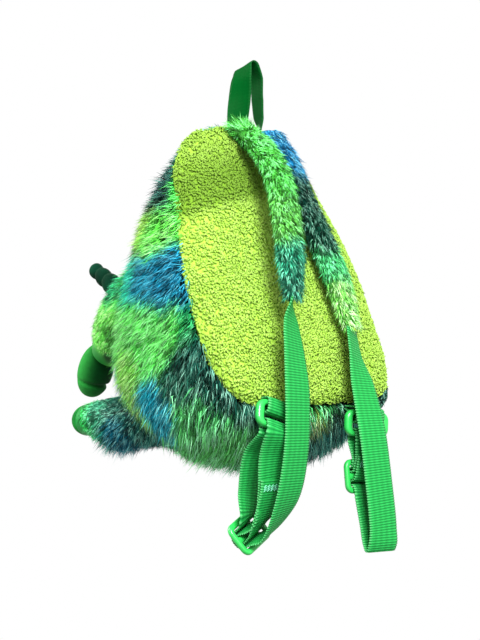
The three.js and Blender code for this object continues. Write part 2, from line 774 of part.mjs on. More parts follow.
// The whole strap, from pad tip through slider and ring back to the slider.
function webbingPlaces(side) {
  const route = PAD_ROUTES[side];
  const tip = route[route.length - 1];
  const start = v3(tip.x, tip.y, tip.z).add(padTipStep(route)).applyMatrix4(bagMatrix);
  const ways = SLIDER_WAYS[side];
  const sliding = sliderRun(sliders[side], ways.slidingIn, SLIDING_TURN, ways.slidingOut);
  const sewn = sliderRun(sliders[side], ways.sewnIn, SEWN_TURN, ways.sewnOut);
  const ring = overLowerBar(rings[side]);
  if (side === "left") {
    return [
      { point: start, side: v3(0.72, 0.69, 0) },
      free(38, 84, -174, 0.93, 0.36, 0),
      free(39, 88, -198, 0.98, 0.2, 0),
      free(40, 92, -232, 0.99, 0.06, 0),
      free(40, 90, -277, 0.99, 0.06, 0),
      free(40, 80, -314, 0.97, 0.04, -0.2),
      ...sliding,
      free(47, 50, -304, 0.96, -0.05, -0.2),
      free(49.5, 61, -277, 0.97, -0.19, 0.12),
      ...ring,
      free(49.5, 77.5, -280, 0.97, -0.19, 0.12),
      free(46, 70, -304, 0.96, -0.05, -0.2),
      ...sewn,
      free(45.3, 61.8, -326, 0.94, 0.02, -0.3),
      free(46, 72.4, -304, 0.96, -0.05, -0.2),
      free(46.4, 74.6, -296, 0.97, -0.1, -0.1),
    ];
  }
  return [
    { point: start, side: v3(0.72, 0.69, 0) },
    free(-45, 81, -196, 0.93, 0.36, 0),
    free(-45, 88, -220, 0.99, 0.03, 0),
    free(-45, 97.5, -258, 0.99, -0.12, 0),
    free(-47, 102, -298, 0.99, -0.12, 0),
    free(-50, 104, -336, 0.99, -0.12, 0),
    free(-50.6, 103, -350, 0.98, -0.19, 0),
    free(-51.4, 99.5, -355.5, 0.98, -0.19, 0),
    free(-52.2, 96, -350, 0.98, -0.19, 0),
    free(-52, 93, -334, 0.98, -0.19, 0),
    ...sliding,
    ...ring,
    ...sewn,
  ];
}

// From a pad's last place to just past its end.
function padTipStep(route) {
  return routeCurve(route).getTangentAt(1).multiplyScalar(2 + GAP);
}

// Smooth the strap between its places, with more steps where it turns.
function smoothBand(places, between) {
  const points = new THREE.CatmullRomCurve3(places.map((place) => place.point), false, "centripetal");
  const spans = places.length - 1;
  const smooth = [];
  for (let i = 0; i <= spans * between; i++) {
    const index = Math.min(Math.floor(i / between), spans - 1);
    const share = i / between - index;
    const side = places[index].side.clone().lerp(places[index + 1].side, share).normalize();
    smooth.push({ point: points.getPoint(i / between / spans), side });
  }
  return smooth;
}

// Everything hangs under the hook: the bag tips, the straps stay plumb.
const backpack = new THREE.Group();
const hung = new THREE.Group();
hung.position.z = -HANDLE_DROP;
backpack.add(hung);
const bag = new THREE.Group();
bag.rotation.copy(bagTip);
hung.add(bag);

function addPiece(parent, name, geometry, look) {
  const shown = geometry.index ? geometry.toNonIndexed() : geometry;
  shown.computeVertexNormals();
  const mesh = new THREE.Mesh(shown, new THREE.MeshStandardMaterial(LOOKS[look]));
  mesh.name = name;
  parent.add(mesh);
  return mesh;
}

const SIDES = [
  { name: "left", sign: 1 },
  { name: "right", sign: -1 },
];

// Solids that seat on one another.
const bodyClear = solid(evenBody(GAP));
const panelClear = solid(panelForm(GAP));
const headClear = solid(headForm(GAP));
const zipSlab = (spare) =>
  solid(
    block(
      v3(-ZIP.across, ZIP.depth - ZIP.width / 2 - spare, ZIP.lowest - spare),
      v3(ZIP.across, ZIP.depth + ZIP.width / 2 + spare, ZIP.highest),
    ),
  );
const bagInverse = bagMatrix.clone().invert();
const tabBand = (name, grow) =>
  bandForm(smoothBand(tabPlaces(rings[name]), 2), WEB_WIDTH, WEB_THICK, grow).applyMatrix4(bagInverse);
const handleBand = (grow) => bandForm(routePlaces(HANDLE_ROUTE, 24), RIBBON_WIDTH, RIBBON_THICK, grow);

// Bag wall: hollow, open behind the panel and along the zip.
const bagInside = solid(evenBody(-WALL));
const panelHole = solid(panelOpening(GAP));
const wall = cut(solid(evenBody(0)), bagInside, panelHole, panelClear, zipSlab(0));
addPiece(bag, "bag_wall", geometryOf(wall), "lining");
addPiece(bag, "back_panel", panelForm(0), "sherpa");

const zipStrip = solid(evenBody(ZIP.proud)).intersect(zipSlab(-GAP));
addPiece(bag, "zip", geometryOf(cut(zipStrip, bagInside, panelClear)), "zip");

// Fur coat round the wall, parted for everything that comes out of it.
let coat = cut(solid(coatForm()), bodyClear, panelHole, panelClear, zipSlab(ZIP.parting), headClear);
coat = cut(coat, solid(handleBand(GAP)));
for (const { name, sign } of SIDES) {
  const pad = solid(padForm(PAD_ROUTES[name], GAP));
  coat = cut(coat, solid(legForm(sign, GAP)), pad, solid(tabBand(name, GAP)));
}
addPiece(bag, "fur_coat", geometryOf(coat), "fur");
for (const { name } of SIDES) {
  const tab = cut(solid(tabBand(name, 0)), bodyClear, panelClear);
  addPiece(bag, `tab_${name}`, geometryOf(tab), "webbing");
}

// Handle ribbon and stuffed straps, seated on the wall and the panel.
addPiece(bag, "handle", geometryOf(cut(solid(handleBand(0)), bodyClear, panelClear)), "ribbon");
for (const { name } of SIDES) {
  const pad = cut(solid(padForm(PAD_ROUTES[name], 0)), bodyClear, panelClear, solid(handleBand(GAP)));
  addPiece(bag, `strap_pad_${name}`, geometryOf(pad), "fur");
}

// Head with muzzle, horn and eyes.
addPiece(bag, "head", geometryOf(cut(solid(headForm(0)), bodyClear)), "fur");
addPiece(bag, "muzzle", geometryOf(cut(solid(muzzleForm()), headClear)), "velvet");
addPiece(bag, "horn", geometryOf(cut(solid(hornForm()), headClear)), "horn");
for (const { name, sign } of SIDES) {
  const ball = new THREE.SphereGeometry(EYE.radius, 10, 7);
  ball.translate(...headAxis(EYE.along, sign * EYE.side, EYE.up).toArray());
  addPiece(bag, `eye_${name}`, geometryOf(cut(solid(ball), headClear)), "eye");
}

// Legs and soles.
for (const { name, sign } of SIDES) {
  addPiece(bag, `leg_${name}`, geometryOf(cut(solid(legForm(sign, 0)), bodyClear)), "fur");
  addPiece(bag, `sole_${name}`, soleForm(sign), "velvet");
}

// Straps, rings and sliders hang plumb outside the bag's own frame.
const ringShape = frameForm(
  RING.inner + 2 * RING.rail,
  RING.height,
  [{ width: RING.inner, low: RING.bar - RING.height / 2, high: RING.height / 2 - RING.bar }],
  RING.depth,
  RING.corner,
);
const sliderHalf = SLIDER.middleBar / 2 + SLIDER.slot + SLIDER.outerBar;
const sliderShape = frameForm(
  SLIDER.inner + 2 * SLIDER.rail,
  2 * sliderHalf,
  [
    { width: SLIDER.inner, low: SLIDER.middleBar / 2, high: SLIDER.middleBar / 2 + SLIDER.slot },
    { width: SLIDER.inner, low: -SLIDER.middleBar / 2 - SLIDER.slot, high: -SLIDER.middleBar / 2 },
  ],
  SLIDER.depth,
  SLIDER.corner,
);
for (const { name } of SIDES) {
  const ring = addPiece(hung, `ring_${name}`, ringShape.clone(), "plastic");
  ring.applyMatrix4(rings[name].matrix);
  const slider = addPiece(hung, `slider_${name}`, sliderShape.clone(), "plastic");
  slider.applyMatrix4(sliders[name].matrix);
  const strap = smoothBand(webbingPlaces(name), 2);
  addPiece(hung, `webbing_${name}`, bandForm(strap, WEB_WIDTH, WEB_THICK), "webbing");
}

export default backpack;
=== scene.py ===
"""Plush animal backpack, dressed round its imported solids: pile, curled panel, webbing, plastic and velvet."""

import math

import bpy
import numpy as np
from mathutils import Matrix, Vector
from mathutils.bvhtree import BVHTree
from mathutils.kdtree import KDTree


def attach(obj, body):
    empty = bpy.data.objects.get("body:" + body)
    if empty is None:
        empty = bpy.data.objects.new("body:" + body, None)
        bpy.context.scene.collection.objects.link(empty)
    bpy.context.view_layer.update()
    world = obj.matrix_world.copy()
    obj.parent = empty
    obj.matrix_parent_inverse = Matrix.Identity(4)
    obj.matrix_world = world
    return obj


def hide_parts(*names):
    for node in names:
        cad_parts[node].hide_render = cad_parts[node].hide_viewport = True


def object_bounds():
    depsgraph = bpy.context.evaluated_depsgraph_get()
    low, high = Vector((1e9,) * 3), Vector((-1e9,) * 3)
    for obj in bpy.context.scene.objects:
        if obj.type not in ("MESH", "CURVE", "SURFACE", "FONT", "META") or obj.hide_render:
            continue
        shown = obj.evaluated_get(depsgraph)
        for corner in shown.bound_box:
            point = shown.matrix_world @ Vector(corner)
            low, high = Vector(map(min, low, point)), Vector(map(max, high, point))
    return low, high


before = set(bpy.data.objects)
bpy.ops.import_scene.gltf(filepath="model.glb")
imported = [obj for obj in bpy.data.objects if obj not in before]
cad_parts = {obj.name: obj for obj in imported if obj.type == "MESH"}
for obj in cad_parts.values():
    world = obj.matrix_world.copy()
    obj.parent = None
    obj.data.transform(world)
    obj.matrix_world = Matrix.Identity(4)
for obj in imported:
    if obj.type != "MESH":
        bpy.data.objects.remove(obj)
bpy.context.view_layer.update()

MM = 0.001
SCENE = bpy.context.scene

# Camera: place in metres, the way it looks, and its lens for the 480 by 640 picture.
EYE_PLACE = (0.7785, 0.7434, -0.3121)
EYE_AZIMUTH = math.radians(134)
EYE_ELEVATION = math.radians(-5)
FOCAL_PIXELS = 1276
LONG_SIDE_PIXELS = 640
SENSOR = 36

camera_data = bpy.data.cameras.new("camera")
camera_data.sensor_width = SENSOR
camera_data.lens = FOCAL_PIXELS * SENSOR / LONG_SIDE_PIXELS
camera = bpy.data.objects.new("camera", camera_data)
SCENE.collection.objects.link(camera)
look_back = Vector(
    (
        math.sin(EYE_AZIMUTH) * math.cos(EYE_ELEVATION),
        -math.cos(EYE_AZIMUTH) * math.cos(EYE_ELEVATION),
        math.sin(EYE_ELEVATION),
    )
)
camera.location = EYE_PLACE
camera.rotation_mode = "QUATERNION"
camera.rotation_quaternion = (-look_back).to_track_quat("-Z", "Y")
SCENE.camera = camera
SCENE.view_settings.view_transform = "Standard"

# How the bag hangs under its handle, as the solids do.
HANDLE_DROP = 52.7
BAG_PITCH = math.radians(18)
BAG_ROLL = math.radians(4)
BAG_TIP = np.array(Matrix.Rotation(BAG_ROLL, 3, "Y") @ Matrix.Rotation(BAG_PITCH, 3, "X"))
HANG = np.array([0, 0, -HANDLE_DROP])
DOWN_IN_BAG = BAG_TIP.T @ np.array([0, 0, -1.0])
RIPPLE_WAVES, RIPPLE_PACE, RIPPLE_SPREAD = 7, 2.2, 3.2


def bag_to_row(points):
    return (np.asarray(points) @ BAG_TIP.T + HANG) * MM


def hung_to_row(points):
    return (np.asarray(points) + HANG) * MM


def unit(vectors):
    return vectors / np.maximum(np.linalg.norm(vectors, axis=-1, keepdims=True), 1e-9)


def comb_flat(ways, normals):
    """Ways laid flat on a surface, given its normals."""
    return unit(ways - normals * np.sum(ways * normals, axis=-1, keepdims=True))


def facing(ways, outward):
    """Ways turned about where they point against outward ones."""
    return ways * np.where(np.sum(ways * outward, axis=1) < 0, -1, 1)[:, None]


def share_between(values, low, high):
    return np.clip((values - low) / (high - low), 0, 1)


def smooth_step(values, low, high):
    share = share_between(values, low, high)
    return share * share * (3 - 2 * share)


def bell(values, middle, wide):
    return np.exp(-(((values - middle) / wide) ** 2))


def turns_round(columns):
    return np.arange(columns) * 2 * math.pi / columns


def squared(across, up, squareness):
    """How far a squared round reaches along a way."""
    return (np.abs(across) ** squareness + np.abs(up) ** squareness) ** (-1 / squareness)


def linear(red, green, blue):
    """A colour given in 0 to 255 screen values, as light."""
    share = np.array([red, green, blue], float) / 255
    return np.where(share <= 0.04045, share / 12.92, ((share + 0.055) / 1.055) ** 2.4)


def ripple(points, size, seed):
    """Smooth wandering values between about -1 and 1, over a length in millimetres."""
    draw = np.random.default_rng(seed)
    waves = draw.normal(size=(RIPPLE_WAVES, 3)) * RIPPLE_PACE / size
    phases = draw.uniform(0, 2 * math.pi, RIPPLE_WAVES)
    return np.sin(points @ waves.T + phases).sum(axis=1) / RIPPLE_SPREAD


def varied(draw, spread, count):
    """Factors about one, different for each strand."""
    return 1 + spread * draw.normal(size=count)


def table(*rows):
    return np.array(rows, float)


# Tables of the soft forms: the same sizes as the solids, in millimetres.
# Body columns: height, half width, depth where widest, front depth, back depth, squareness of the back.
BODY_SECTIONS = table(
    (5, 0, -22, -22, -22, 3),
    (1, 32, -22, -35, -8, 3),
    (-8, 50, -24, -42, -6, 3),
    (-24, 65, -27, -51, -6, 3),
    (-43, 76, -31, -67, -6, 3.3),
    (-63, 86, -36, -92, -6, 3.8),
    (-93, 96, -43, -120, -6, 5),
    (-135, 104, -50, -153, -6, 6),
    (-172, 107, -54, -170, -6, 6),
    (-200, 109, -56, -159, -6, 6),
    (-226, 109, -58, -133, -7, 6),
    (-246, 103, -58, -107, -11, 6),
    (-260, 82, -58, -88, -28, 6),
    (-268, 46, -58, -74, -44, 6),
    (-271, 0, -58, -58, -58, 6),
)
FRONT_SQUARENESS = 2.3

PANEL_MIDDLE, PANEL_RISE, PANEL_DROP, PANEL_HALF = -127, 130, 119, 107
PANEL_CROWN_OVERHANG, PANEL_SIDE_OVERHANG = 10, 2
PANEL_CROWN_LEVEL, PANEL_SIDE_LEVEL = -35, -65
PANEL_TOP_SQUARENESS, PANEL_BOTTOM_SQUARENESS = 3, 6
PANEL_RIM, PANEL_CROWN, PANEL_INSIDE, PANEL_SEAM = 5, 9, 2.5, 0.97

# Round forms: along the axis, half width, half height.
HEAD_ROUNDS = table(
    (-92, 29, 29), (-66, 29, 29), (-40, 32, 31), (-16, 35, 33),
    (6, 33, 31), (28, 28, 26), (48, 22, 20), (62, 16, 14),
)
HEAD_PLACE = np.array([0, -188, -98.0])
HEAD_TILT = math.radians(16.5)
NECK_SINK, NECK_REACH = 0.05, (0.0, 0.46)
LEG_ROUNDS = table((-6, 20, 17), (26, 23, 19), (58, 22, 18), (85, 19, 16), (109, 16, 14))
LEG_PLACE = np.array([64, -116, -220.0])
LEG_LIFT = math.radians(18)

PAD_HALF, PAD_THICK = 10.5, 5
PAD_TAPER, PAD_TAPER_FROM = 0.5, 0.72
PAD_ROUTES = {
    "left": [(13, 3, -4), (16, 22, -34), (24, 35, -68), (34, 39, -103), (43, 38, -141), (47, 32, -170)],
    "right": [
        (-21, 3, -5), (-22, 12, -36), (-22, 16, -72),
        (-27, 19, -112), (-31, 20, -152), (-33, 18, -190),
    ],
}
PAD_STEPS, LINE_FINENESS = 200, 60
SIDES = {"left": 1, "right": -1}
WHOLE = (0.0, 1.0)


def spans_at(place, count):
    """The span that each place from 0 to 1 falls in, and its share of the way along it."""
    at = np.clip(place, 0, 1) * (count - 1)
    index = np.minimum(at.astype(int), count - 2)
    return index, (at - index)[:, None]


def rows_at(rows, place):
    """Smooth values between the rows of a table, at places from 0 to 1 along it."""
    index, share = spans_at(place, len(rows))
    before, here, after, beyond = (rows[np.clip(index + step, 0, len(rows) - 1)] for step in (-1, 0, 1, 2))
    slope_in = (after - before) / 2
    slope_out = (beyond - here) / 2
    rise = after - here
    bend = 3 * rise - 2 * slope_in - slope_out
    twist = slope_in + slope_out - 2 * rise
    return here + share * (slope_in + share * (bend + share * twist))


def body_surface(place, turn):
    """The bag's surface: place runs from crown to bottom, turn goes once round."""
    height, half, mid, front, back, square = rows_at(BODY_SECTIONS, place).T
    across = np.cos(turn)
    deep = np.sin(turn)
    reach = np.where(deep > 0, back - mid, mid - front)
    swell = squared(across, deep, np.where(deep > 0, square, FRONT_SQUARENESS))
    return np.stack([np.maximum(half, 0) * swell * across, mid + reach * swell * deep, height], axis=1)


def tilted(place, tilt):
    """Places by a form's own axes: along it, to its side and up, with its front tipped down."""
    forward = np.array([0, -math.cos(tilt), -math.sin(tilt)])
    lift = np.array([0, -math.sin(tilt), math.cos(tilt)])
    across = np.array([1.0, 0, 0])

    def axis(along, side, up):
        return place + np.outer(along, forward) + np.outer(side, across) + np.outer(up, lift)

    return axis


head_axis = tilted(HEAD_PLACE, HEAD_TILT)
leg_axis = tilted(LEG_PLACE, -LEG_LIFT)


def head_surface(place, turn):
    """The head and its neck, whose top slopes down into the bag."""
    along, half, high = rows_at(HEAD_ROUNDS, place).T
    slope = NECK_SINK + (1 - NECK_SINK) * smooth_step(place, *NECK_REACH)
    up = np.sin(turn) * np.where(np.sin(turn) > 0, slope, 1)
    return head_axis(along, half * np.cos(turn), high * up)


def leg_surface(sign):
    def surface(place, turn):
        along, half, high = rows_at(LEG_ROUNDS, place).T
        return leg_axis(along, half * np.cos(turn), high * np.sin(turn)) * np.array([sign, 1, 1])

    return surface


def smooth_line(points, at):
    """A line through points that doesn't swing wide between uneven ones, at shares of its spans."""
    points = np.asarray(points, float)
    full = np.concatenate([[2 * points[0] - points[1]], points, [2 * points[-1] - points[-2]]])
    index, share = spans_at(at, len(points))
    p0, p1, p2, p3 = (full[index + step] for step in range(4))

    def span(a, b):
        return np.maximum(np.linalg.norm(b - a, axis=1, keepdims=True) ** 0.5, 1e-4)

    before, here, after = span(p0, p1), span(p1, p2), span(p2, p3)
    start = ((p1 - p0) / before - (p2 - p0) / (before + here) + (p2 - p1) / here) * here
    stop = ((p2 - p1) / here - (p3 - p1) / (here + after) + (p3 - p2) / after) * here
    bend = -3 * p1 + 3 * p2 - 2 * start - stop
    twist = 2 * p1 - 2 * p2 + start + stop
    return p1 + share * (start + share * (bend + share * twist))


def run_of(line):
    """The length of a line up to each of its points."""
    return np.concatenate([[0], np.cumsum(np.linalg.norm(np.diff(line, axis=0), axis=1))])


def even_line(points, count, *others):
    """A smooth line in steps of equal length, with other values carried along, and its length."""
    fine = np.linspace(0, 1, LINE_FINENESS * len(points))
    run = run_of(smooth_line(points, fine))
    steps = np.interp(np.linspace(0, run[-1], count), run, fine)
    return [smooth_line(points, steps), *(smooth_line(other, steps) for other in others), run[-1]]


def pad_surface(route):
    """A stuffed strap: an oval along a route, lying flat to the panel."""
    line, _ = even_line(route, PAD_STEPS)
    along = unit(np.gradient(line, axis=0))
    side = comb_flat(np.array([1.0, 0, 0]), along)
    out = np.cross(along, side)

    def surface(place, turn):
        low, share = spans_at(place, len(line))
        here, across, up = (way[low] * (1 - share) + way[low + 1] * share for way in (line, side, out))
        taper = 1 - PAD_TAPER * share_between(place, PAD_TAPER_FROM, 1) ** 2
        wide = (PAD_HALF * taper * np.cos(turn))[:, None]
        thick = (PAD_THICK * taper * np.sin(turn))[:, None]
        return here + wide * across + thick * up

    return surface


def normals_of(surface, place, turn, step=0.004):
    """Outward normals of a surface of place and turn, and the way that place runs."""
    down = surface(np.minimum(place + step, 1), turn) - surface(np.maximum(place - step, 0), turn)
    round_it = surface(place, turn + step) - surface(place, turn - step)
    middle = (surface(place, turn) + surface(place, turn + math.pi)) / 2
    return facing(unit(np.cross(down, round_it)), surface(place, turn) - middle), unit(down)


def scatter(surface, count, draw, rows=160, columns=240, reach=WHOLE):
    """Places and turns spread evenly over a surface's area."""
    places = np.linspace(*reach, rows + 1)
    turns = np.linspace(0, 2 * math.pi, columns + 1)
    grid_place, grid_turn = np.meshgrid(places, turns, indexing="ij")
    points = surface(grid_place.ravel(), grid_turn.ravel()).reshape(rows + 1, columns + 1, 3)
    down = points[1:, :-1] - points[:-1, :-1]
    across = points[:-1, 1:] - points[:-1, :-1]
    areas = np.linalg.norm(np.cross(down, across), axis=2).ravel()
    cells = np.sort(draw.choice(rows * columns, size=count, p=areas / areas.sum()))
    place = places[cells // columns] + draw.uniform(size=count) * (places[1] - places[0])
    turn = turns[cells % columns] + draw.uniform(size=count) * turns[1]
    return place, turn


# The dyes of the pile, in the bag's frame: middle, reach each way, and screen colour.
SIDE_DYES = [
    ((82, -42, -43), (45, 20, 28), (2, 48, 44)),
    ((90, -18, -62), (30, 12, 32), (60, 166, 60)),
    ((97, -42, -85), (30, 24, 18), (92, 205, 70)),
    ((88, -72, -72), (30, 22, 26), (114, 160, 58)),
    ((102, -12, -140), (40, 20, 22), (0, 94, 118)),
    ((108, -38, -128), (45, 24, 23), (0, 94, 120)),
    ((104, -66, -114), (40, 22, 19), (0, 98, 118)),
    ((95, -97, -105), (35, 18, 20), (20, 140, 116)),
    ((110, -72, -166), (40, 34, 25), (88, 208, 84)),
    ((92, -118, -142), (35, 26, 24), (92, 206, 84)),
    ((110, -20, -174), (40, 15, 14), (14, 112, 56)),
    ((104, -113, -188), (35, 22, 24), (110, 186, 72)),
    ((112, -18, -205), (45, 26, 26), (4, 56, 46)),
    ((100, -8, -236), (40, 28, 24), (4, 54, 44)),
    ((114, -36, -220), (30, 20, 20), (8, 66, 50)),
    ((112, -85, -208), (35, 14, 16), (4, 124, 142)),
    ((112, -73, -232), (35, 13, 16), (4, 116, 132)),
    ((114, -42, -248), (40, 26, 16), (62, 148, 76)),
    ((88, -57, -266), (40, 30, 18), (78, 166, 82)),
]
MIDDLE_DYES = [
    ((45, -86, -268), (36, 30, 18), (52, 136, 84)),
    ((-9, -13, -250), (38, 25, 9), (46, 128, 64)),
    ((-5, -22, -261), (16, 12, 9), (150, 186, 80)),
    ((-30, -17, -256), (24, 20, 13), (0, 44, 38)),
    ((-34, -44, -271), (40, 30, 15), (6, 80, 76)),
    ((30, -160, -168), (40, 40, 26), (4, 112, 150)),
    ((-28, -168, -204), (45, 40, 26), (86, 200, 86)),
    ((0, -118, -250), (60, 40, 24), (14, 92, 78)),
    ((0, -96, -56), (50, 40, 24), (60, 188, 80)),
    ((0, -28, 0), (60, 24, 16), (16, 104, 76)),
]
BROW_DYES = [
    ((0, -150, -84), (60, 26, 40), (64, 190, 70)),
    ((0, -186, -74), (60, 20, 18), (16, 124, 76)),
    ((0, -214, -104), (60, 30, 28), (108, 226, 82)),
]
# Cheek patches, on both sides: painted shade in the gap where the head meets the body, and the bare snout end
# in velvet green with painted shade under it.
CHEEK_DYES_AND_SHADE = [
    ((29, -204, -113), (16, 13, 12), (0, 24, 18)),
    ((17, -243, -116), (13, 10, 14), (34, 138, 52)),
    ((21, -230, -124), (14, 10, 11), (0, 48, 18)),
]
LEG_DYES = [
    ((74, -136, -214), (40, 24, 40), (4, 72, 64)),
    ((74, -166, -192), (40, 22, 16), (6, 74, 58)),
    ((74, -166, -224), (40, 24, 20), (2, 76, 92)),
    ((76, -188, -188), (40, 13, 30), (30, 112, 80)),
    ((76, -212, -190), (40, 13, 30), (22, 142, 56)),
]
PAD_DYES = {
    "left": [
        ((30, 30, -50), (40, 30, 46), (56, 140, 46)),
        ((46, 40, -108), (30, 20, 26), (74, 148, 56)),
        ((52, 42, -140), (30, 20, 16), (30, 118, 88)),
        ((54, 40, -166), (30, 20, 20), (34, 108, 84)),
    ],
    "right": [
        ((-19, 17, -30), (30, 20, 24), (10, 92, 132)),
        ((-17, 22, -70), (30, 20, 22), (0, 42, 32)),
        ((-20, 24, -108), (30, 20, 20), (0, 52, 36)),
        ((-20, 24, -140), (30, 20, 16), (52, 146, 84)),
        ((-23, 23, -176), (30, 20, 24), (118, 206, 88)),
    ],
}
FAR_SIDE_SLIP = (0, 6, -16)
DYE_EDGE, DYE_WARP, DYE_WARP_SIZE, DYE_WARP_SEEDS = 3.2, 5, 26, (11, 12, 13)
UNDYED, UNDYED_SHARE, LEAST_SHARE = linear(40, 160, 100), 1e-8, 1e-12


def mirrored(dyes, slip=(0, 0, 0)):
    return [((-x + slip[0], y + slip[1], z + slip[2]), reach, tint) for (x, y, z), reach, tint in dyes]


BODY_DYES = SIDE_DYES + MIDDLE_DYES + mirrored(SIDE_DYES, FAR_SIDE_SLIP)
HEAD_DYES_AND_SHADE = BROW_DYES + CHEEK_DYES_AND_SHADE + mirrored(CHEEK_DYES_AND_SHADE)


def dyed(points, dyes):
    """The colour of the pile at points in the bag's frame, patches running into one another."""
    warp = np.stack([ripple(points, DYE_WARP_SIZE, seed) for seed in DYE_WARP_SEEDS], axis=1) * DYE_WARP
    total = np.full(len(points), UNDYED_SHARE)
    colour = total[:, None] * UNDYED
    for middle, reach, tint in dyes:
        off = (points + warp - np.array(middle)) / np.array(reach)
        share = np.exp(-DYE_EDGE * np.sum(off**2, axis=1)) + LEAST_SHARE
        total = total + share
        colour = colour + share[:, None] * linear(*tint)
    return colour / total[:, None]


# Meshes from arrays, and objects from meshes.
def make_object(name, points, face_sets, material, colours=None, uvs=None, smooth=True):
    """An object from points in metres and arrays of faces, each array of one corner count."""
    mesh = bpy.data.meshes.new(name)
    mesh.vertices.add(len(points))
    mesh.vertices.foreach_set("co", np.asarray(points, np.float32).ravel())
    corners = np.concatenate([faces.ravel() for faces in face_sets]).astype(np.int32)
    sizes = np.concatenate([np.full(len(faces), faces.shape[1]) for faces in face_sets])
    mesh.loops.add(len(corners))
    mesh.loops.foreach_set("vertex_index", corners)
    mesh.polygons.add(len(sizes))
    mesh.polygons.foreach_set("loop_start", (np.cumsum(sizes) - sizes).astype(np.int32))
    mesh.update(calc_edges=True)
    # The colour attribute: dye, with painted light and shade on some pieces.
    if colours is not None:
        dye_and_shade = mesh.attributes.new("dye_and_shade", "FLOAT_COLOR", "POINT")
        full = np.concatenate([colours, np.ones((len(colours), 1))], axis=1)
        dye_and_shade.data.foreach_set("color", full.astype(np.float32).ravel())
    if uvs is not None:
        layer = mesh.uv_layers.new(name="OFBake")
        layer.data.foreach_set("uv", np.asarray(uvs, np.float32).ravel())
    mesh.polygons.foreach_set("use_smooth", np.full(len(sizes), smooth))
    mesh.materials.append(material)
    made = bpy.data.objects.new(name, mesh)
    SCENE.collection.objects.link(made)
    return made


def dress(made, node=None):
    """A piece that rides on the bag, and stands for a CAD node where one is given."""
    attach(made, "root")
    if node is not None:
        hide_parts(node)
    return made


def grid_faces(rows, columns):
    """Four-cornered faces between rings of points."""
    steps = np.meshgrid(np.arange(rows - 1), np.arange(columns), indexing="ij")
    row, column = (values.ravel() for values in steps)
    here, below = row * columns, (row + 1) * columns
    after = (column + 1) % columns
    return np.stack([here + column, below + column, below + after, here + after], axis=1)


def outward(points, quads, *others):
    """Faces of a closed form, turned about together where its quads face in."""
    a, b, c, d = (points[quads[:, k]] for k in range(4))
    volume = np.sum(a * np.cross(b, c)) + np.sum(a * np.cross(c, d))
    return [faces[:, ::-1] if volume < 0 else faces for faces in (quads, *others)]


def closed_tube(layers):
    """A closed skin over rings of points, each end drawn to a point."""
    rows, columns = layers.shape[:2]
    ring = np.arange(columns)
    after = (ring + 1) % columns
    first, last = rows * columns, (rows - 1) * columns
    caps = np.concatenate(
        [
            np.stack([np.full(columns, first), ring, after], axis=1),
            np.stack([np.full(columns, first + 1), last + after, last + ring], axis=1),
        ]
    )
    ends = np.stack([layers[0].mean(axis=0), layers[-1].mean(axis=0)])
    points = np.concatenate([layers.reshape(-1, 3), ends])
    return points, *outward(points, grid_faces(rows, columns), caps)


def skin_of(surface, rows, columns, reach=WHOLE):
    """A closed skin over a surface of place and turn."""
    place, turn = np.meshgrid(np.linspace(*reach, rows), turns_round(columns), indexing="ij")
    return closed_tube(surface(place.ravel(), turn.ravel()).reshape(rows, columns, 3))


def near(points, node, within):
    """Which points, in the bag's frame, lie on or close to a CAD node."""
    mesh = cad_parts[node].data
    tree = BVHTree.FromPolygons([v.co[:] for v in mesh.vertices], [p.vertices[:] for p in mesh.polygons])
    gaps = [tree.find_nearest(Vector(place))[3] for place in bag_to_row(points)]
    return np.array(gaps) < within * MM


# Materials.
DARK_UNTIL, VELVET_LIGHT_FROM, PLAIN_LIGHT_FROM = 0.3, 0.72, 0.7
WEAVE_SPREAD, THREAD_FINENESS = 0.22, 1.7
WEAR_FINENESS, WEAR_LESS, WEAR_MORE, MARK_FINENESS = 6, 0.06, 0.1, 9


def new_material(name):
    material = bpy.data.materials.new(name)
    material.use_nodes = True
    return material, material.node_tree


def plug(tree, node, inputs):
    """Links sockets to a node's inputs, and sets plain values on them directly."""
    for key, value in inputs.items():
        if isinstance(value, bpy.types.NodeSocket):
            tree.links.new(value, node.inputs[key])
        else:
            node.inputs[key].default_value = value


def shade(tree, inputs):
    plug(tree, tree.nodes["Principled BSDF"], inputs)


def add_node(tree, kind, inputs, **settings):
    made = tree.nodes.new(kind)
    for key, value in settings.items():
        setattr(made, key, value)
    plug(tree, made, inputs)
    return made.outputs


def object_places(tree):
    return add_node(tree, "ShaderNodeTexCoord", {})["Object"]


def noise(tree, scale, detail=3.0):
    inputs = {"Vector": object_places(tree), "Scale": scale, "Detail": detail}
    return add_node(tree, "ShaderNodeTexNoise", inputs)["Fac"]


def spread_of(tree, value, low, high):
    return add_node(tree, "ShaderNodeMapRange", {"Value": value, "To Min": low, "To Max": high})["Result"]


def mottled(tree, speck, dark, light, light_from):
    """Two colours that run into each other."""
    made = tree.nodes.new("ShaderNodeValToRGB")
    plug(tree, made, {"Fac": speck})
    for element, place, colour in zip(made.color_ramp.elements, (DARK_UNTIL, light_from), (dark, light)):
        element.position = place
        element.color = (*colour, 1)
    return made.outputs["Color"]


def relief(tree, scale, strength, distance):
    inputs = {"Height": noise(tree, scale, 2), "Strength": strength, "Distance": distance}
    return add_node(tree, "ShaderNodeBump", inputs)["Normal"]


def dye_tone(tree, grain, spread):
    """The cloth's colour attribute, dye with painted shade on some pieces, with finer streaks of light and dark
    in it.
    """
    dye_and_shade = add_node(tree, "ShaderNodeAttribute", {}, attribute_name="dye_and_shade")["Color"]
    lighten = spread_of(tree, noise(tree, grain), 1 - spread, 1 + spread)
    return add_node(tree, "ShaderNodeHueSaturation", {"Value": lighten, "Color": dye_and_shade})["Color"]


def dyed_material(name, roughness, specular, sheen, grain, spread):
    """Cloth coloured by its dye, with painted shade on some pieces."""
    material, tree = new_material(name)
    shade(tree, {"Base Color": dye_tone(tree, grain, spread), "Roughness": roughness})
    shade(tree, {"Specular IOR Level": specular, "Sheen Weight": sheen, "Sheen Roughness": 0.5})
    return material


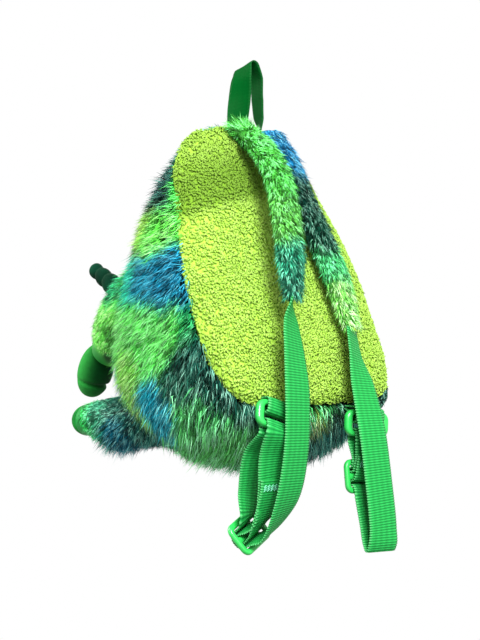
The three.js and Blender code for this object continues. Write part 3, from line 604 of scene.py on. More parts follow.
def velvet_material(name, dark, light):
    """Short velvet: soft patches where the pile lies over."""
    material, tree = new_material(name)
    colour = mottled(tree, noise(tree, scale=45, detail=4), dark, light, VELVET_LIGHT_FROM)
    shade(tree, {"Base Color": colour, "Roughness": 0.85, "Specular IOR Level": 0.06})
    shade(tree, {"Normal": relief(tree, scale=1600, strength=0.5, distance=0.0005)})
    shade(tree, {"Sheen Weight": 0.04, "Sheen Roughness": 0.35, "Sheen Tint": (0.5, 1, 0.5, 1)})
    return material


def woven_material(name, roughness, threads, specular):
    """Woven band: colour from its ribs, painted light on their crests and painted shade in the grooves, with
    fine threads in its surface.
    """
    material, tree = new_material(name)
    shade(tree, {"Base Color": dye_tone(tree, threads, WEAVE_SPREAD), "Roughness": roughness})
    threaded = relief(tree, threads * THREAD_FINENESS, strength=0.35, distance=0.0004)
    shade(tree, {"Normal": threaded, "Specular IOR Level": specular})
    return material


def plain_material(name, dark, light, scale, roughness, coat, distance):
    """Moulded or polished surface, with faint uneven tone and roughness."""
    material, tree = new_material(name)
    colour = mottled(tree, noise(tree, scale), dark, light, PLAIN_LIGHT_FROM)
    wear = spread_of(tree, noise(tree, scale * WEAR_FINENESS), roughness - WEAR_LESS, roughness + WEAR_MORE)
    shade(tree, {"Base Color": colour, "Roughness": wear, "Coat Weight": coat})
    shade(tree, {"Normal": relief(tree, scale * MARK_FINENESS, 0.15, distance)})
    return material


# Dyed cloths: roughness, specular, sheen, scale of grain and spread of tone.
FUR = dyed_material("fur", 0.45, 0.1, 0.0, 500, 0.15)
BACKING = dyed_material("knit_backing", 0.95, 0.1, 0.0, 700, 0.3)
SHERPA = dyed_material("sherpa", 0.9, 0.1, 0.0, 420, 0.15)
MUZZLE_PILE = dyed_material("muzzle_velvet", 0.85, 0.06, 0.03, 240, 0.3)
# Woven bands: roughness, scale of threads and specular.
WEBBING = woven_material("webbing", 0.55, 900, 0.1)
RIBBON = woven_material("satin_ribbon", 0.45, 1400, 0.015)
TAPE = woven_material("zip_tape", 0.7, 1100, 0.1)
# Velvets and plain surfaces: dark and light colours; scale of marks, roughness, coat and depth of marks.
VELVET = velvet_material("velvet", linear(4, 78, 26), linear(26, 134, 46))
HORN_SATIN = velvet_material("horn_velour", linear(0, 24, 14), linear(3, 54, 34))
PLASTIC = plain_material("moulded_plastic", linear(31, 160, 64), linear(42, 176, 75), 60, 0.3, 0.15, 0.0002)
EYE_GLOSS = plain_material("eye_plastic", linear(6, 6, 7), linear(16, 15, 15), 90, 0.12, 0.6, 0.00005)
TEETH = plain_material("zip_coil", linear(6, 70, 40), linear(14, 96, 58), 300, 0.4, 0.0, 0.0001)
THREAD = plain_material("thread", linear(84, 178, 140), linear(120, 205, 168), 900, 0.6, 0.0, 0.0002)

# Strands of pile: three-sided and closed, thin at the root and at the tip.
STRAND_POINTS = 5
STRAND_CORNERS = np.radians([90, 210, 330])
STRAND_FACES = np.array(
    [[1 + (k + 1) % 3, 1 + k, 0] for k in range(3)] + [[1 + k, 1 + (k + 1) % 3, 4] for k in range(3)]
)
STRAND_MAP = table(
    *([(k + 1, 1), (k, 1), (k + 0.5, 0)] for k in range(3)),
    *([(k, 1), (k + 1, 1), (k + 0.5, 3)] for k in range(3)),
)
MAP_MARGIN, MAP_STRANDS, MAP_SKIN, MAP_CAPS, MAP_CELL = 0.08, 0.9, 0.93, 0.99, (0.0002, 0.05)
STRAND_WIDTH, STRAND_SPREAD = 0.62, 0.2
LOCK_STRANDS = 3
BEND_AT, BEND_PULL, ROOT_SUNK = 0.4, 0.4, 0.6
OWN_STRAY, LOCK_STRAY, LIFT_SPREAD = 0.5, 0.85, 12
WANDER_SIZE, WANDER_SEED = 24, 31

# How strands differ: shares of dull and pale ones, and how bright each kind is.
DULL_SHARE, PALE_SHARE = 0.33, 0.38
DULL_TONE, FULL_TONE, PALE_TONE, TONE_SPREAD = 0.5, 1.75, 3.2, 0.2
# The first value darkens the dye at each strand's foot: painted shade deep in the pile.
ROOT_SHADE, TIP_TONE, TIP_FROST = 0.12, 1.1, 0.5
PALE_LIGHT = np.array([0.48, 0.95, 0.72])
PALE_WHITE, LEAST_WHITE = (0.01, 0.17), 0.003
DYE_SCATTER = 2


def as_column(value):
    return np.reshape(value, (-1, 1))


def locks_of(roots, draw):
    """The small lock that each root belongs to, and the way to the lock's middle."""
    middles = roots[draw.choice(len(roots), size=max(len(roots) // LOCK_STRANDS, 1), replace=False)]
    tree = KDTree(len(middles))
    for index, middle in enumerate(middles):
        tree.insert(middle, index)
    tree.balance()
    lock = np.array([tree.find(root)[1] for root in roots])
    return lock, middles[lock] - roots


def grow(roots, normals, ways, lengths, widths, draw, lift, droop=0.25, tuft=0.4, stray=24, wander=20):
    """Strands that lean over along their ways and gather into locks, and the lock of each."""
    count = len(roots)
    flat = comb_flat(ways, normals)
    across = np.cross(normals, flat)
    lock, to_middle = locks_of(roots, draw)
    own, shared = draw.normal(size=count), draw.normal(size=count)[lock]
    swing = np.radians(stray) * (OWN_STRAY * own + LOCK_STRAY * shared)
    swing = swing + np.radians(wander) * ripple(roots, WANDER_SIZE, WANDER_SEED)
    flat = flat * np.cos(swing)[:, None] + across * np.sin(swing)[:, None]
    rise, lean = (np.radians(angle + LIFT_SPREAD * draw.normal(size=count))[:, None] for angle in lift)
    first = flat * np.cos(rise) + normals * np.sin(rise)
    second = unit(flat * np.cos(lean) + normals * np.sin(lean) + as_column(droop) * DOWN_IN_BAG)
    pull = to_middle * as_column(tuft)
    bend = roots + first * lengths[:, None] * BEND_AT + pull * BEND_PULL
    points = np.empty((count, STRAND_POINTS, 3))
    points[:, 0] = roots - normals * ROOT_SUNK
    points[:, 4] = bend + second * lengths[:, None] * (1 - BEND_AT) + pull
    way = unit(first + second)
    side = unit(np.cross(way, normals))
    up = np.cross(way, side)
    for k, angle in enumerate(STRAND_CORNERS):
        ring = side * math.cos(angle) + up * math.sin(angle)
        points[:, 1 + k] = bend + ring * (widths / 2)[:, None]
    return points, lock


def bends_of(strands):
    return strands[:, 1:4].mean(axis=1)


def along_strands(roots, bodies, tips):
    """The colours of whole strands: at the root, at the bend and at the tip."""
    colours = np.empty((len(bodies), STRAND_POINTS, 3))
    colours[:, 0] = roots
    colours[:, 1:4] = bodies[:, None]
    colours[:, 4] = tips
    return np.clip(colours, 0, 1)


def strand_colours(places, dyes, lock, draw, frost, root_shade=ROOT_SHADE):
    """Painted shade at the foot, with dull, full and pale locks side by side."""
    dyes = dyed(places + DYE_SCATTER * draw.normal(size=places.shape), dyes)
    count = len(dyes)
    kind = draw.uniform(size=(count, 1))[lock]
    pale = kind > 1 - PALE_SHARE
    tone = np.where(pale, PALE_TONE, np.where(kind < DULL_SHARE, DULL_TONE, FULL_TONE))
    tone = tone * np.exp(TONE_SPREAD * draw.normal(size=(count, 1)))
    whiten = np.where(pale, draw.uniform(*PALE_WHITE, size=(count, 1)) * as_column(frost), LEAST_WHITE)
    body = dyes * tone * (1 - whiten) + PALE_LIGHT * whiten
    return along_strands(dyes * root_shade, body, body * TIP_TONE + PALE_LIGHT * whiten * TIP_FROST)


def strand_maps(count):
    """Each strand's own small place in the bake's map, neighbours side by side."""
    wide = math.ceil(math.sqrt(count))
    index = np.arange(count)
    corner = np.stack([index % wide, index // wide], axis=1)[:, None, None, :]
    return ((corner + MAP_MARGIN + (1 - 2 * MAP_MARGIN) * STRAND_MAP / 3) / wide).reshape(-1, 2)


def furry(name, strands, colours, material, node, skin=None, skin_dye_and_shade=None):
    """One object of strands, with the skin that they grow from where there is one."""
    count = len(strands)
    points = strands.reshape(-1, 3)
    tints = colours.reshape(-1, 3)
    offset = (np.arange(count) * STRAND_POINTS)[:, None, None]
    face_sets = [(STRAND_FACES + offset).reshape(-1, 3)]
    maps = [strand_maps(count) * np.array([1, MAP_STRANDS])]
    if skin is not None:
        skin_points, quads, caps = skin
        face_sets += [quads + len(points), caps + len(points)]
        points = np.concatenate([points, skin_points])
        tints = np.concatenate([tints, skin_dye_and_shade])
        rows = np.arange(len(quads)) / len(quads)
        strip = np.stack([rows, np.full(len(rows), MAP_SKIN)], axis=1)
        cell = np.array([(0, 0), (1, 0), (1, 1), (0, 1)]) * MAP_CELL
        maps.append((strip[:, None] + cell).reshape(-1, 2))
        maps.append(np.full((len(caps) * 3, 2), MAP_CAPS))
    made = make_object(name, bag_to_row(points), face_sets, material, tints, np.concatenate(maps))
    return dress(made, node)


# The bag's skin, drawn in behind the panel, and darkened with painted shade under the pile.
SKIN_GRID, SKIN_REACH, SKIN_SHADE = (72, 112), (0.004, 0.996), 0.12
BEHIND_PANEL, BEHIND_SHARE, BEHIND_DEPTH = 1.0, 1.01, -30
SECTION_STEPS, OUTLINE_STEPS = 3000, 721


def sections_at(heights):
    rows = rows_at(BODY_SECTIONS, np.linspace(0, 1, SECTION_STEPS))
    rows = rows[np.argsort(rows[:, 0])]
    return np.stack([np.interp(heights, rows[:, 0], column) for column in rows.T], axis=1)


def panel_outline(angle):
    """The edge of the back panel, by angle round its middle."""
    across, up = np.cos(angle), np.sin(angle)
    tall = np.where(up > 0, PANEL_RISE, PANEL_DROP)
    reach = squared(across, up, np.where(up > 0, PANEL_TOP_SQUARENESS, PANEL_BOTTOM_SQUARENESS))
    level = PANEL_MIDDLE + tall * reach * up
    crown = smooth_step(level, PANEL_SIDE_LEVEL, PANEL_CROWN_LEVEL)
    overhang = PANEL_SIDE_OVERHANG + (PANEL_CROWN_OVERHANG - PANEL_SIDE_OVERHANG) * crown
    half = np.minimum(PANEL_HALF * reach * np.abs(across), sections_at(level)[:, 1] + overhang)
    return np.sign(across) * half, level


def back_depth(x, z):
    _, half, mid, _, back, square = sections_at(z).T
    share = np.minimum(np.abs(x) / np.maximum(half, 1e-6), PANEL_SEAM)
    return mid + (back - mid) * (1 - share**square) ** (1 / square)


def panel_at(share, angle, lift):
    """A point on the panel by share of the way to its edge, lifted off the back of the bag."""
    edge_x, edge_z = panel_outline(angle)
    x = edge_x * share
    z = PANEL_MIDDLE + (edge_z - PANEL_MIDDLE) * share
    swell = PANEL_CROWN * (1 - share**2)
    return np.stack([x, back_depth(x, z) + swell + lift, z], axis=1)


def panel_share(points):
    """How far each point lies from the panel's middle towards its edge."""
    edge_x, edge_z = panel_outline(np.linspace(-math.pi, math.pi, OUTLINE_STEPS))
    bearing = np.arctan2(edge_z - PANEL_MIDDLE, edge_x)
    order = np.argsort(bearing)
    reach = np.hypot(edge_x, edge_z - PANEL_MIDDLE)[order]
    x, up = points[:, 0], points[:, 2] - PANEL_MIDDLE
    return np.hypot(x, up) / np.interp(np.arctan2(up, x), bearing[order], reach, period=2 * math.pi)


def bag_skin():
    points, quads, caps = skin_of(body_surface, *SKIN_GRID, SKIN_REACH)
    share = panel_share(points)
    swell = PANEL_CROWN * np.maximum(1 - share**2, 0)
    inside = back_depth(points[:, 0], points[:, 2]) + swell - PANEL_INSIDE - BEHIND_PANEL
    behind = (share < BEHIND_SHARE) & (points[:, 1] > BEHIND_DEPTH)
    points[behind, 1] = np.minimum(points[behind, 1], inside[behind])
    # Painted shade: the skin is its dye darkened to a small share.
    tints = dyed(points, BODY_DYES) * SKIN_SHADE
    dress(make_object("bag_shell", bag_to_row(points), [quads, caps], BACKING, tints), "bag_wall")


bag_skin()

# The pile of the bag, in three pieces: its lengths, and the levels, depths and sides where they change.
COAT_STRANDS, COAT_REACH, COAT_SEED = 97000, (0.002, 0.998), 20
CROWN_LENGTH, COAT_LENGTH, SKIRT_LENGTH = 12.5, 14.5, 21
COAT_LEVELS, SKIRT_LEVELS = (70, 160), (165, 235)
CROWN_RISE, CROWN_REACH, CROWN_LEAST = 6, 40, 0.5
PRESSED_DEPTHS, PRESSED_SIDES, PRESSED_SHORTER = (-80, -40), (50, 75), 0.65
FAR_SKIRT, FAR_SHORTER = (0, 60), 0.45
FRONT_SKIRT, FRONT_SHORTER = (40, 90), 0.35
COAT_RISE, COAT_LEAN, SKIRT_LOWER, PRESSED_LOWER = 56, 12, 10, 22
LENGTH_SPREAD, LENGTH_RIPPLE, SKIRT_WIDER, SKIRT_FROST = 0.2, 0.12, 0.5, 2
COMB_DOWN, COMB_AWAY = 0.85, 0.6
COAT_PARTS = {"coat_left": (34, 999), "coat_middle": (-34, 34), "coat_right": (-999, -34)}
PANEL_HEART = np.array([0, 0, -110.0])
PANEL_CLEAR = 0.985
BELLY_DEPTH, BELLY_GAP, COAT_GAP = -78, 14, 1.6


def pierces_panel(points):
    """Which points lie in the panel or over it."""
    over = points[:, 1] > back_depth(points[:, 0], points[:, 2]) - PANEL_INSIDE
    return (panel_share(points) < PANEL_CLEAR) & over


def coat():
    draw = np.random.default_rng(COAT_SEED)
    place, turn = scatter(body_surface, COAT_STRANDS, draw, reach=COAT_REACH)
    roots = body_surface(place, turn)
    normals, _ = normals_of(body_surface, place, turn)
    kept = near(roots, "fur_coat", np.where(roots[:, 1] < BELLY_DEPTH, BELLY_GAP, COAT_GAP))
    roots, normals = roots[kept], normals[kept]
    ways = COMB_DOWN * DOWN_IN_BAG + COMB_AWAY * comb_flat(roots - PANEL_HEART, normals)
    count = len(roots)
    x, y, z = roots.T
    skirt = smooth_step(-z, *SKIRT_LEVELS)
    reach = CROWN_LENGTH + (COAT_LENGTH - CROWN_LENGTH) * smooth_step(-z, *COAT_LEVELS)
    reach = reach + (SKIRT_LENGTH - COAT_LENGTH) * skirt
    crown = np.clip((CROWN_RISE - z) / CROWN_REACH, CROWN_LEAST, 1)
    uneven = varied(draw, LENGTH_SPREAD, count) + LENGTH_RIPPLE * ripple(roots, size=18, seed=5)
    lengths = reach * crown * uneven
    widths = STRAND_WIDTH * varied(draw, STRAND_SPREAD, count) * (1 + SKIRT_WIDER * skirt)
    pressed = smooth_step(y, *PRESSED_DEPTHS) * smooth_step(-x, *PRESSED_SIDES)
    lengths = lengths * (1 - PRESSED_SHORTER * pressed)
    lengths = lengths * (1 - FAR_SHORTER * skirt * smooth_step(-x, *FAR_SKIRT))
    lengths = lengths * (1 - FRONT_SHORTER * skirt * smooth_step(-y, *FRONT_SKIRT))
    rise = COAT_RISE - SKIRT_LOWER * skirt - PRESSED_LOWER * pressed
    leaning = {
        "lift": (rise, rise - COAT_LEAN - SKIRT_LOWER * skirt),
        "droop": 0.25 + 0.2 * skirt,
        "tuft": 0.35 + 0.3 * skirt,
        "stray": 32 - 14 * skirt,
        "wander": 30 - 18 * skirt,
    }
    strands, lock = grow(roots, normals, ways, lengths, widths, draw, **leaning)
    bends, tips = bends_of(strands), strands[:, 4]
    colours = strand_colours((bends + tips) / 2, BODY_DYES, lock, draw, 1 + SKIRT_FROST * skirt)
    over_panel = pierces_panel(bends) | pierces_panel(tips)
    for name, (low, high) in COAT_PARTS.items():
        part = (x > low) & (x <= high) & ~over_panel
        furry(name, strands[part], colours[part], FUR, "fur_coat")


coat()

# Head, legs and shoulder straps: stuffed forms with pile, bare where it would be very short.
BARE_LENGTH = 1.6
# The stuffed forms' roots and skins are their dye darkened: painted shade deep in the pile.
STUFFED_WIDTH, STUFFED_SPREAD, STUFFED_ROOT_SHADE, STUFFED_SKIN_SHADE = 0.9, 0.16, 0.45, 0.7
STUFFED_SAG = 0.25
HEAD_STRANDS, FACE_LENGTH, FACE_LOSS = 9500, 12.5, 4
FACE_CROP, CROP_SIDES, CROP_TOP, JAW_CROP = (0.74, 0.88), 0.9, 0.6, 0.65
LEG_STRANDS, LEG_LENGTH, LEG_LOSS = 7500, 8.5, 2.5
LEG_BARE, BARE_LOSS, BARE_UNDER = (0.84, 0.93), 0.93, 0.1
TUFT_LENGTH, TUFT_PLACE, TUFT_REACH = 13, 0.5, 0.16
PAD_STRANDS, PAD_LENGTH, PAD_LOSS, PAD_TURN = 8500, 10, 3.5, (0.05, 0.12)


def stuffed(
    name, node, surface, dyes, count, length, way, seed, within, frost, reach=WHOLE, grid=(40, 40), **leaning
):
    """A padded form with its skin: strands of a length by place, combed a way, close to its CAD node."""
    draw = np.random.default_rng(seed)
    place, turn = scatter(surface, count, draw, reach=reach)
    roots = surface(place, turn)
    normals, along = normals_of(surface, place, turn)
    kept = near(roots, node, within)
    grown = [values[kept] for values in (place, roots, normals, along)]
    lengths = length(grown[0], grown[2]) * varied(draw, STUFFED_SPREAD, len(grown[0]))
    long = lengths > BARE_LENGTH
    place, roots, normals, along, lengths = (values[long] for values in (*grown, lengths))
    widths = STRAND_WIDTH * STUFFED_WIDTH * varied(draw, STRAND_SPREAD, len(roots))
    strands, lock = grow(roots, normals, way(place, along), lengths, widths, draw, **leaning)
    colours = strand_colours(bends_of(strands), dyes, lock, draw, frost, STUFFED_ROOT_SHADE)
    skin = skin_of(surface, *grid, reach)
    # The skin under the pile is its dye darkened: painted shade.
    made = furry(name, strands, colours, FUR, node, skin, dyed(skin[0], dyes) * STUFFED_SKIN_SHADE)


def leg_fur(place, normals):
    """Short at the sole and where the leg leaves the bag, with long tufts under its middle."""
    under = np.clip(normals @ DOWN_IN_BAG, 0, 1)
    tufts = TUFT_LENGTH * under * bell(place, TUFT_PLACE, TUFT_REACH)
    bare = smooth_step(place + BARE_UNDER * under, *LEG_BARE)
    return (LEG_LENGTH - LEG_LOSS * place) * (1 - BARE_LOSS * bare) + tufts


def face_fur(place, normals):
    """Shorter towards the muzzle, and cropped at its seam and under the jaw."""
    under = np.clip(normals @ DOWN_IN_BAG, 0, 1)
    over = np.clip(-normals @ DOWN_IN_BAG, 0, 1)
    cropped = smooth_step(place, *FACE_CROP) * (CROP_SIDES - CROP_TOP * over)
    return (FACE_LENGTH - FACE_LOSS * place) * (1 - cropped) * (1 - JAW_CROP * under)


def pad_fur(place, normals):
    """Shorter where the strap lies on the panel."""
    return PAD_LENGTH - PAD_LOSS * np.clip(-normals[:, 1], 0, 1)


def combed(forward, sag):
    return lambda place, along: forward * along + sag * DOWN_IN_BAG


def combed_over(place, along):
    """Down the strap, but upwards over the foot of the handle."""
    return along * (2 * smooth_step(place, *PAD_TURN) - 1)[:, None] + STUFFED_SAG * DOWN_IN_BAG


stuffed(
    "plush_head",
    "head",
    head_surface,
    HEAD_DYES_AND_SHADE,
    HEAD_STRANDS,
    face_fur,
    combed(forward=0.7, sag=STUFFED_SAG),
    seed=21,
    within=30,
    frost=1.0,
    reach=(0.03, 1.0),
    lift=(40, 26),
)
for side, sign in SIDES.items():
    stuffed(
        f"plush_leg_{side}",
        f"leg_{side}",
        leg_surface(sign),
        LEG_DYES if sign > 0 else mirrored(LEG_DYES),
        LEG_STRANDS,
        leg_fur,
        combed(forward=0.8, sag=0.5),
        seed=22 + sign,
        within=5,
        frost=2.6,
        lift=(46, 26),
        droop=0.6,
    )
    stuffed(
        f"plush_strap_{side}",
        f"strap_pad_{side}",
        pad_surface(PAD_ROUTES[side]),
        PAD_DYES[side],
        PAD_STRANDS,
        pad_fur,
        combed_over if sign > 0 else combed(forward=1, sag=STUFFED_SAG),
        seed=26 + sign,
        within=7,
        frost=2.2,
        grid=(60, 32),
        lift=(44, 24),
    )

# Back panel: a padded form under short curled tufts.
CURLS, CURL_LENGTH, CURL_WIDTH, CURL_SPREAD, CURL_SEED = 25000, 4.2, 1.8, 0.2, 40
CURL_LEANING = {"lift": (48, -8), "droop": 0.1, "tuft": 0.15, "stray": 40}
CURL_SAG, CURL_TIP, MAP_BANDS = 0.5, 1.04, 40
TONE_MIDDLE, TONE_OWN, TONE_PATCH = 0.5, 0.3, 0.2
PILE_DEPTH, EDGE_FROM, EDGE_ROUND = 2.2, 0.93, 0.75
RIM_FROM, RIM_LESS, RIM_OUT = 0.94, 0.6, 0.9
PANEL_RINGS, PANEL_SEGMENTS, PANEL_HOLE, PANEL_TURN_IN = 26, 128, 0.02, 0.99
SHERPA_DARK = linear(148, 188, 64)
SHERPA_MIDDLE = linear(140, 178, 63)
SHERPA_LIGHT = linear(153, 189, 83)
# Painted shade on the panel: the slanting line it starts from, how it starts and fades, and how strong it is in
# each colour.
CREASE_HEIGHT, CREASE_SLOPE = -66, 0.2
FOLD_STARTS, FOLD_FADES, FOLD_FADE = (-6, 8), (25, 62), 0.6
FOLD_SHADE = np.array([0.55, 0.48, 0.65])


def painted_fold_shade(points, colours):
    """Colours of the panel, with painted shade above the line of its soft crease."""
    fold = points[:, 2] - CREASE_HEIGHT + CREASE_SLOPE * points[:, 0]
    above = smooth_step(fold, *FOLD_STARTS) * (1 - FOLD_FADE * smooth_step(fold, *FOLD_FADES))
    return colours * (1 - FOLD_SHADE * above[:, None])


def under_pile(share):
    """The height of the cloth that the curls grow from, rounded down at the panel's edge."""
    return (PANEL_RIM - PILE_DEPTH) * (1 - EDGE_ROUND * share_between(share, EDGE_FROM, 1) ** 2)


def panel_skin():
    outside = [(share, under_pile(share)) for share in np.linspace(PANEL_HOLE, 1, PANEL_RINGS)]
    inside = [(share, -PANEL_INSIDE) for share in np.linspace(PANEL_TURN_IN, PANEL_HOLE, PANEL_RINGS // 2)]
    angle = turns_round(PANEL_SEGMENTS)
    layers = [panel_at(np.full(PANEL_SEGMENTS, share), angle, lift) for share, lift in outside + inside]
    return closed_tube(np.stack(layers))


def back_panel():
    draw = np.random.default_rng(CURL_SEED)
    share = np.sqrt(draw.uniform(size=CURLS * 2))
    angle = draw.uniform(0, 2 * math.pi, CURLS * 2)
    edge_x, edge_z = panel_outline(angle)
    weight = np.hypot(edge_x, edge_z - PANEL_MIDDLE) ** 2
    kept = np.sort(draw.choice(CURLS * 2, size=CURLS, replace=False, p=weight / weight.sum()))
    share, angle = share[kept], angle[kept]
    order = np.lexsort((angle, np.round(share * MAP_BANDS)))
    share, angle = share[order], angle[order]
    roots = panel_at(share, angle, under_pile(share))
    step = 0.01
    to_edge = panel_at(np.minimum(share + step, 1), angle, 0) - panel_at(share - step, angle, 0)
    around = panel_at(share, angle + step, 0) - panel_at(share, angle - step, 0)
    normals = facing(unit(np.cross(to_edge, around)), np.array([0, 1, 0]))
    rim = share_between(share, RIM_FROM, 1)[:, None]
    normals = unit(normals * (1 - RIM_LESS * rim) + comb_flat(to_edge, normals) * RIM_OUT * rim)
    ways = draw.normal(size=(CURLS, 3)) + CURL_SAG * DOWN_IN_BAG
    lengths = CURL_LENGTH * varied(draw, CURL_SPREAD, CURLS)
    widths = CURL_WIDTH * varied(draw, CURL_SPREAD, CURLS)
    curls, _ = grow(roots, normals, ways, lengths, widths, draw, **CURL_LEANING)
    tone = TONE_MIDDLE + TONE_OWN * draw.normal(size=CURLS) + TONE_PATCH * ripple(roots, size=9, seed=8)
    tone = np.clip(tone, 0, 1)[:, None]
    body = painted_fold_shade(roots, SHERPA_MIDDLE * (1 - tone) + SHERPA_LIGHT * tone)
    colours = along_strands(painted_fold_shade(roots, SHERPA_DARK), body, body * CURL_TIP)
    skin = panel_skin()
    skin_dye_and_shade = painted_fold_shade(skin[0], SHERPA_DARK)
    made = furry("sherpa_panel", curls, colours, SHERPA, "back_panel", skin, skin_dye_and_shade)


back_panel()

# Bands of webbing and ribbon.
RIB_RISE, RIB_STEPS, SCALLOP, RIM_THIN, ROUGH_STEPS = 0.22, 4, 0.35, 0.55, 50
LANE_DARK, LANE_LIGHT, KNOT_LIGHT = -0.14, 0.1, 0.6
SELVEDGE = linear(118, 196, 136)
WEB_WIDTH, WEB_THICK = 30, 1.5
# Each band's light colour lies on its rib crests and its dark one in the grooves: painted light and painted
# shade.
WEB = {
    "width": WEB_WIDTH, "thick": WEB_THICK, "pitch": 2.1, "rise": RIB_RISE, "lanes": 11,
    "light": linear(40, 158, 73), "dark": linear(5, 100, 41), "material": WEBBING, "slot": "webbing",
}
STRIP = {
    "width": 19, "thick": 1.2, "pitch": 1.2, "rise": 0.05, "lanes": 9,
    "light": linear(0, 68, 21), "dark": linear(0, 59, 17), "material": RIBBON, "slot": "ribbon",
}


def band(name, node, route, to_row, width, thick, pitch, rise, lanes, light, dark, material, slot):
    """A woven band along a route of places and ways across, ribbed, with scalloped selvedges, and painted shade
    in the grooves between its ribs.
    """
    places, sides = zip(*route)
    ribbed = rise / RIB_RISE
    _, length = even_line(places, ROUGH_STEPS)
    steps = int(length / pitch * RIB_STEPS) + 1
    line, ways, length = even_line(places, steps, sides)
    along = unit(np.gradient(line, axis=0))
    side = comb_flat(ways, along)
    face = np.cross(along, side)
    wave = np.cos(2 * math.pi * np.linspace(0, length, steps) / pitch)
    edge = width / 2 + SCALLOP * ribbed * wave
    lane = [-1 + 2 * k / (lanes - 1) for k in range(lanes)]
    loop = [(across, 1) for across in lane] + [(-across, -1) for across in lane]
    count = len(loop)
    points = np.empty((steps, count, 3))
    for k, (across, front) in enumerate(loop):
        high = np.full(steps, thick / 2 * RIM_THIN) if abs(across) == 1 else thick / 2 + rise * wave
        points[:, k] = line + side * (across * edge)[:, None] + face * (front * high)[:, None]
    all_points, quads, caps = closed_tube(points)
    # Painted shade and light: dark in the grooves between ribs, light on their crests.
    share = np.append(np.repeat(np.clip(0.5 + 0.5 * wave, 0, 1), count), [0.5, 0.5])[:, None]
    lane_tone = np.tile(1 + np.where(np.arange(count) % 2, LANE_DARK, LANE_LIGHT) * ribbed, steps)
    tints = (dark * (1 - share) + light * share) * np.append(lane_tone, [1, 1])[:, None]
    rims = [k for k, (across, _) in enumerate(loop) if abs(across) == 1]
    knots = (KNOT_LIGHT * ribbed * np.clip(wave, 0, 1))[:, None, None]
    woven = tints[: steps * count].reshape(steps, count, 3)
    woven[:, rims] = woven[:, rims] * (1 - knots) + SELVEDGE * knots
    made = dress(make_object(name, to_row(all_points), [quads, caps], material, tints), node)
    return line, side, face


# Plastic pieces: where they hang, and their bars.
RING_BAR, RING_HEIGHT, RING_DEPTH = 4.5, 22, 6
TURN = 1.75
GAP = 0.3
RING_BAR_AT = (RING_HEIGHT - RING_BAR) / 2
RING_REACH, RING_OVER = RING_DEPTH / 2 + TURN, RING_BAR / 2 + TURN
RING_PLACES = {
    "left": ((48, 80, -249), 0.19, 0.28, -0.24),
    "right": ((-52, 86, -253), 0.19, 0.06, 0),
}
SLIDER_PLACES = {
    "left": ((44, 44, -338), (0.424, -0.439, 0.79), (0.905, 0.196, -0.377)),
    "right": ((-52, 83, -296), (-0.04, -0.12, 0.99), (0.98, -0.19, 0)),
}


def basis(origin, bar, rail):
    """A rigid piece's own axes, with its face turned outward from the bag's back."""
    face = np.cross(bar, rail)
    return np.array(origin, float), bar, rail, face if face[1] >= 0 else -face


def ring_basis(side):
    origin, turn, slope, lean = RING_PLACES[side]
    bar = unit(np.array([math.cos(turn), -math.sin(turn), slope]))
    return basis(origin, bar, comb_flat(np.array([0, lean, 1.0]), bar))


def slider_basis(side):
    origin, rail, bar = SLIDER_PLACES[side]
    rail = unit(np.array(rail, float))
    return basis(origin, comb_flat(np.array(bar, float), rail), rail)


def run_at(own, rows):
    """Places at a rigid piece, each up along its rails and out from its face."""
    origin, bar, rail, face = own
    return [(origin + rail * up + face * out, bar) for up, out in rows]


# Runs of the webbing through each slider, as up and out; and free places, each with the way across the band.
SLIDING_TURN = [(-7.4, 2), (-6.8, -3.4), (-3.8, -6), (0, -6.7), (3.8, -6), (6.8, -3.4), (7.4, 2)]
SEWN_TURN = [(3.4, 3.2), (3.9, 0), (3.2, -3.1), (0, -4), (-3.2, -3.1), (-3.9, 0), (-3.4, 3.2)]
SLIDER_WAYS = {
    "left": {
        "sliding": [(-10.4, 14), (-8.6, 7), *SLIDING_TURN, (8.6, 7), (11, 11)],
        "sewn": [(2.2, 18), (2, 9), *SEWN_TURN, (-2, 9)],
    },
    "right": {
        "sliding": [(-16, 4.6), (-11, 4.3), *SLIDING_TURN, (11, 4.3), (16, 4.2)],
        "sewn": [(14, 8.6), (8, 6.2), *SEWN_TURN, (-2.6, 5), (1, 7.4), (8, 10), (15, 12.2)],
    },
}
START_SIDES = {"left": (0.72, 0.69, 0), "right": (0.9, 0.43, 0)}
FREE_RUNS = {
    "left": {
        "hanging": [
            (38, 84, -174, 0.93, 0.36, 0),
            (39, 88, -198, 0.98, 0.2, 0),
            (40, 92, -232, 0.99, 0.06, 0),
            (40, 90, -277, 0.99, 0.06, 0),
            (40, 80, -314, 0.97, 0.04, -0.2),
        ],
        "rising": [(47, 50, -304, 0.96, -0.05, -0.2), (49.5, 61, -277, 0.97, -0.19, 0.12)],
        "falling": [(49.5, 77.5, -280, 0.97, -0.19, 0.12), (46, 70, -304, 0.96, -0.05, -0.2)],
        "end": [
            (45.3, 61.8, -326, 0.94, 0.02, -0.3),
            (46, 72.4, -304, 0.96, -0.05, -0.2),
            (46.4, 74.6, -296, 0.97, -0.1, -0.1),
        ],
    },
    "right": {
        "hanging": [
            (-45, 81, -196, 0.93, 0.36, 0),
            (-45, 88, -220, 0.99, 0.03, 0),
            (-45, 97.5, -258, 0.99, -0.12, 0),
            (-47, 102, -298, 0.99, -0.12, 0),
            (-50, 104, -336, 0.99, -0.12, 0),
            (-50.6, 103, -350, 0.98, -0.19, 0),
            (-51.4, 99.5, -355.5, 0.98, -0.19, 0),
            (-52.2, 96, -350, 0.98, -0.19, 0),
            (-52, 93, -334, 0.98, -0.19, 0),
        ],
    },
}
TAB_DEEP, TAB_RISE, TAB_SLACK, TAB_APART = 11, 4, 4.5, 1.3


